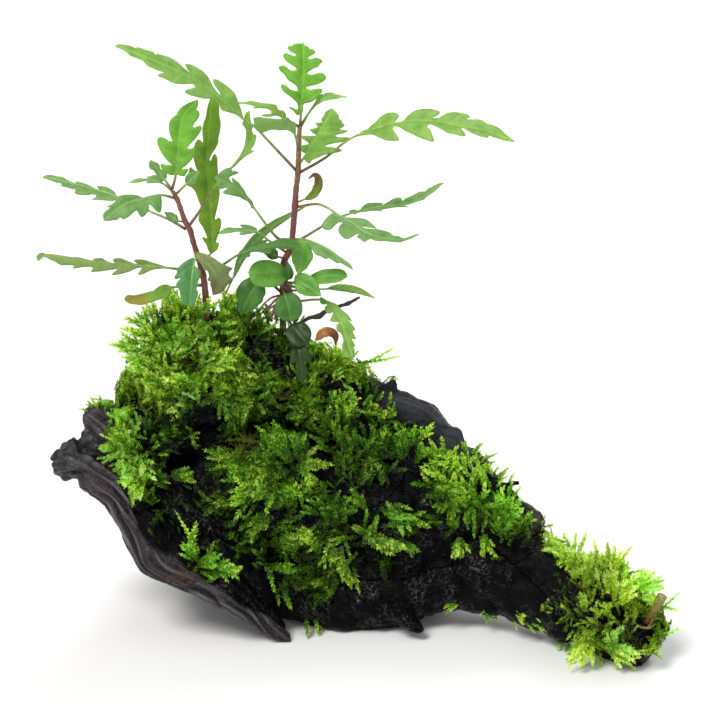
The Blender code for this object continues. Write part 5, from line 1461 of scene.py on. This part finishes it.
def make_leaf(leaf, number, materials):
    """One leaf with its stalk and midrib."""
    line = smooth_line(leaf.line)
    base = line[1][LINE_STEPS * leaf.stalk]
    points, corners, values = leaf_blade(leaf, line, base, number)
    start = STEM_TRIM * MM if leaf.stalk else 0
    distances = np.linspace(start, base + 0.85 * (line[1][-1] - base), STALK_STEPS)
    taper = np.interp(distances, [start, base, distances[-1]], [1.15, 0.85, 0.2])
    radii = taper * STALK_RADIUS * MM * min(1, 0.5 + leaf.half / 8)
    rib, rib_faces = tube(line, distances, radii, THIN_SIDES)
    tone = np.repeat(np.clip((distances - start) / max(base - start, 1e-6), 0, 1.0), THIN_SIDES)
    ribs = {"tone": np.concatenate([tone, [0.0, 1.0]])}
    index = np.repeat(np.array([0, 1], np.int32), [len(corners), len(rib_faces)])
    corners = np.concatenate([corners, rib_faces + len(points)])
    points = np.concatenate([points, rib])
    for key in values:
        values[key] = np.concatenate([values[key], ribs.get(key, np.zeros(len(rib)))])
    obj = new_object(leaf.name + "_blade", points, corners, materials[leaf.finish], values)
    obj.data.materials.append(materials[LEAF_STALKS.get(leaf.finish, "leaf_stalk")])
    obj.data.polygons.foreach_set("material_index", index)
    stand_for(obj, LEAF_SLOTS.get(leaf.name, LEAF_SLOTS.get(leaf.finish, "leaf")), leaf.name)


# Stems and twigs

# Stems and twigs, as (right, up, back, radius) along each
STEMS = tables_of(4, """
    stem_main  -24 94.4 30 0.9  -24.4 88 30 1  -24.8 75.2 30 1.2  -25.6 68 30 1.1  -26 62 30 1.3
        -27.2 48 30 1.2  -28.4 43.2 30 1.3  -30.4 39.2 30 1.3  -30.8 32 30 1.4  -30.8 24 30 1.4
        -30.8 17 30 1.4  -30.8 10 30 1.4
    stem_left  -75.2 68 24 0.8  -73.2 64.4 24 0.95  -72 61.2 24 0.95  -70 55.6 24 1.05  -68 52 24 1.15
        -66.8 47.6 24 1.05  -65.2 42.4 24 1.15  -62.8 34 24 1.3  -61.6 24 24 1.4  -61 14 24 1.4
    twig_low_right  -28.4 13 29 0.9  -23.6 14.8 29 0.7  -20.4 16.8 29 0.7  -16.2 17.6 29 1.2  -14 19.2 29 0.8
        -8 21.6 28 0.6  -4.8 22.6 28 0.8  0 25.2 27 0.5
    twig_on_tail  113.2 -107.6 -26 1.5  115.2 -104.4 -28 1.25  117.6 -100.4 -29.4 1.3  119.6 -96.8 -29.8 1.9
        121 -94.2 -30 2.2
""")
# A brown sheath about the foot of the twig on the tail
SHEATH = tables_of(4, """
    sheath_1  109.2 -104.8 -30 0.4  112 -106.8 -31 0.6  115.6 -107.2 -31 0.65  118.4 -105.4 -29 0.35
    sheath_2  113.6 -108.2 -29 0.4  115.8 -106.2 -30 0.55  117.4 -103.2 -30 0.35
""")
# The swollen foot of the main stem and its thin roots
ROOTLETS = tables_of(4, """
    swelling  -31.2 31.5 29.5 0.8  -29.6 29.4 27.5 2  -28.4 26.6 27 1.6  -29.6 23.4 28.5 0.9
    root_1  -30.5 25 29 0.6  -34.4 23.4 26 0.5  -37.4 19.4 24 0.35
    root_2  -30.5 23.5 29 0.6  -33.6 21.6 26 0.55  -35.8 17.8 24 0.4
    root_3  -30.8 22 29 0.6  -33 19.8 26 0.5  -34.4 16.2 25 0.35
    root_4  -30.5 26 29 0.55  -35.2 25 25 0.45  -38.8 22.2 23 0.35
    root_5  -30.6 24.2 29 0.5  -34.8 21.4 25 0.45  -36.4 20.2 24 0.5  -36.8 17.2 24 0.3
    root_6  -30.6 22.8 29 0.5  -32.2 20.8 26 0.5  -34.8 18.8 25 0.45  -35 16.4 25 0.3
    root_7  -30.8 21.2 29 0.5  -31.8 18.6 27 0.45  -33.6 17 26 0.4  -33.2 14.4 26 0.3
    root_8  -30.5 24.6 29 0.5  -33 24.6 26 0.5  -35.6 22.2 25 0.4  -38 20.4 24 0.3
    root_9  -30.5 29.6 28 0.6  -26 29.3 25.4 0.6  -21.8 28.6 24 0.5
""")


def stem_tone(name, distances):
    """How green a stem is at DISTANCES: the stems near their tips, the twig on the tail at its cut end."""
    if name == "twig_on_tail":
        return np.clip(distances / distances[-1] * 1.6 - 0.6, 0, 1)
    return np.clip((0.75 if name == "stem_main" else 0.4) - distances / (45 * MM), 0, 1)


def make_stem(name, rows, material, rootlets):
    """One stem or twig with swollen joints at its rows, and the thin roots or sheath upon it."""
    line = smooth_line(rows)
    reach = line[1]
    distances = np.linspace(0, reach[-1], STEM_STEPS)
    radii = radii_along(rows, reach, distances)
    for joint in reach[::LINE_STEPS][1 : len(rows) - 1]:
        radii = radii + JOINT_SWELL * np.exp(-(((distances - joint) / (JOINT_REACH * MM)) ** 2))
    radii = radii + 0.05 * np.sin(distances / MM * 1.7)
    radii[0], radii[1], radii[-1] = STEM_END, 0.7 * radii[2], STEM_END
    verts, faces = tube(line, distances, radii * MM, STEM_SIDES)
    tone = np.repeat(stem_tone(name, distances), STEM_SIDES)
    tone = np.concatenate([tone, [tone[0], tone[-1]]])
    for root in rootlets.values():
        line = smooth_line(root)
        distances = np.linspace(0, line[1][-1], ROOT_STEPS)
        radii = radii_along(root, line[1], distances) * (1 + 0.12 * np.sin(distances / MM * 2.6))
        radii[0] = radii[-1] = ROOT_END
        more, corners = tube(line, distances, radii * MM, THIN_SIDES)
        faces = np.concatenate([faces, corners + len(verts)])
        verts = np.concatenate([verts, more])
        tone = np.concatenate([tone, np.full(len(more), 0.5 if root[1][3] < 1 else 0.05)])
    obj = new_object(name + "_skin", verts, faces, material, {"tone": tone})
    stand_for(obj, "stem", name)


# Light, floor and camera


def add_sun(name, place, strength, spread, colour=(1, 1, 1)):
    """A soft light from far away in the direction of PLACE."""
    light = bpy.data.lights.new(name, "SUN")
    light.energy = strength
    light.angle = math.radians(spread)
    light.color = colour
    obj = linked(name, light)
    obj.location = place
    obj.rotation_euler = Vector(place).to_track_quat("Z", "Y").to_euler()


def add_studio():
    """White surroundings, two soft lights and a pale round floor."""
    world = bpy.data.worlds.new("studio")
    world.use_nodes = True
    world.node_tree.nodes["Background"].inputs["Color"].default_value = (1, 1, 1, 1)
    world.node_tree.nodes["Background"].inputs["Strength"].default_value = 0.7
    bpy.context.scene.world = world
    add_sun("key", (-0.4, -0.5, 0.85), 3.0, 24, (1, 0.985, 0.95))
    add_sun("rear", (0.4, 0.7, 0.8), 1.0, 30)
    shape = bmesh.new()
    bmesh.ops.create_circle(shape, cap_ends=True, segments=96, radius=3)
    mesh = bpy.data.meshes.new("floor")
    shape.to_mesh(mesh)
    shape.free()
    mesh.materials.append(floor_material())
    floor = linked("floor", mesh)


def add_camera():
    """The camera of the front view."""
    camera = bpy.data.cameras.new("camera")
    camera.sensor_width = 36
    camera.lens = 36 * VIEW_DISTANCE / VIEW_WIDTH
    camera.clip_start = 0.05
    camera.clip_end = 20
    obj = linked("camera", camera)
    obj.location = CAMERA_PLACE
    obj.rotation_mode = "QUATERNION"
    obj.rotation_quaternion = (-CAMERA_WAY).to_track_quat("-Z", "Y")
    bpy.context.scene.camera = obj


def main():
    add_camera()
    add_studio()
    bpy.context.scene.view_settings.view_transform = "Standard"
    wood = make_driftwood()
    graph = bpy.context.evaluated_depsgraph_get()
    wood_tree = BVHTree.FromObject(wood, graph)
    solid_trees = {moss.node: BVHTree.FromObject(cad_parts[moss.node], graph) for moss in MOSSES}
    for moss in MOSSES:
        grow_moss(moss, wood_tree, solid_trees)
    materials = {name: leaf_material(name + "_leaf", *colours) for name, colours in FINISHES.items()}
    materials.update({name: stem_material(name, *colours) for name, colours in STEM_COLOURS.items()})
    for number, leaf in enumerate(LEAVES):
        make_leaf(leaf, number, materials)
    for name, skin, rootlets in (
        ("stem_main", "stem_skin", ROOTLETS), ("stem_left", "stem_skin", {}),
        ("twig_low_right", "twig_bark", {}), ("twig_on_tail", "cut_twig", SHEATH),
    ):
        make_stem(name, STEMS[name], materials[skin], rootlets)


main()
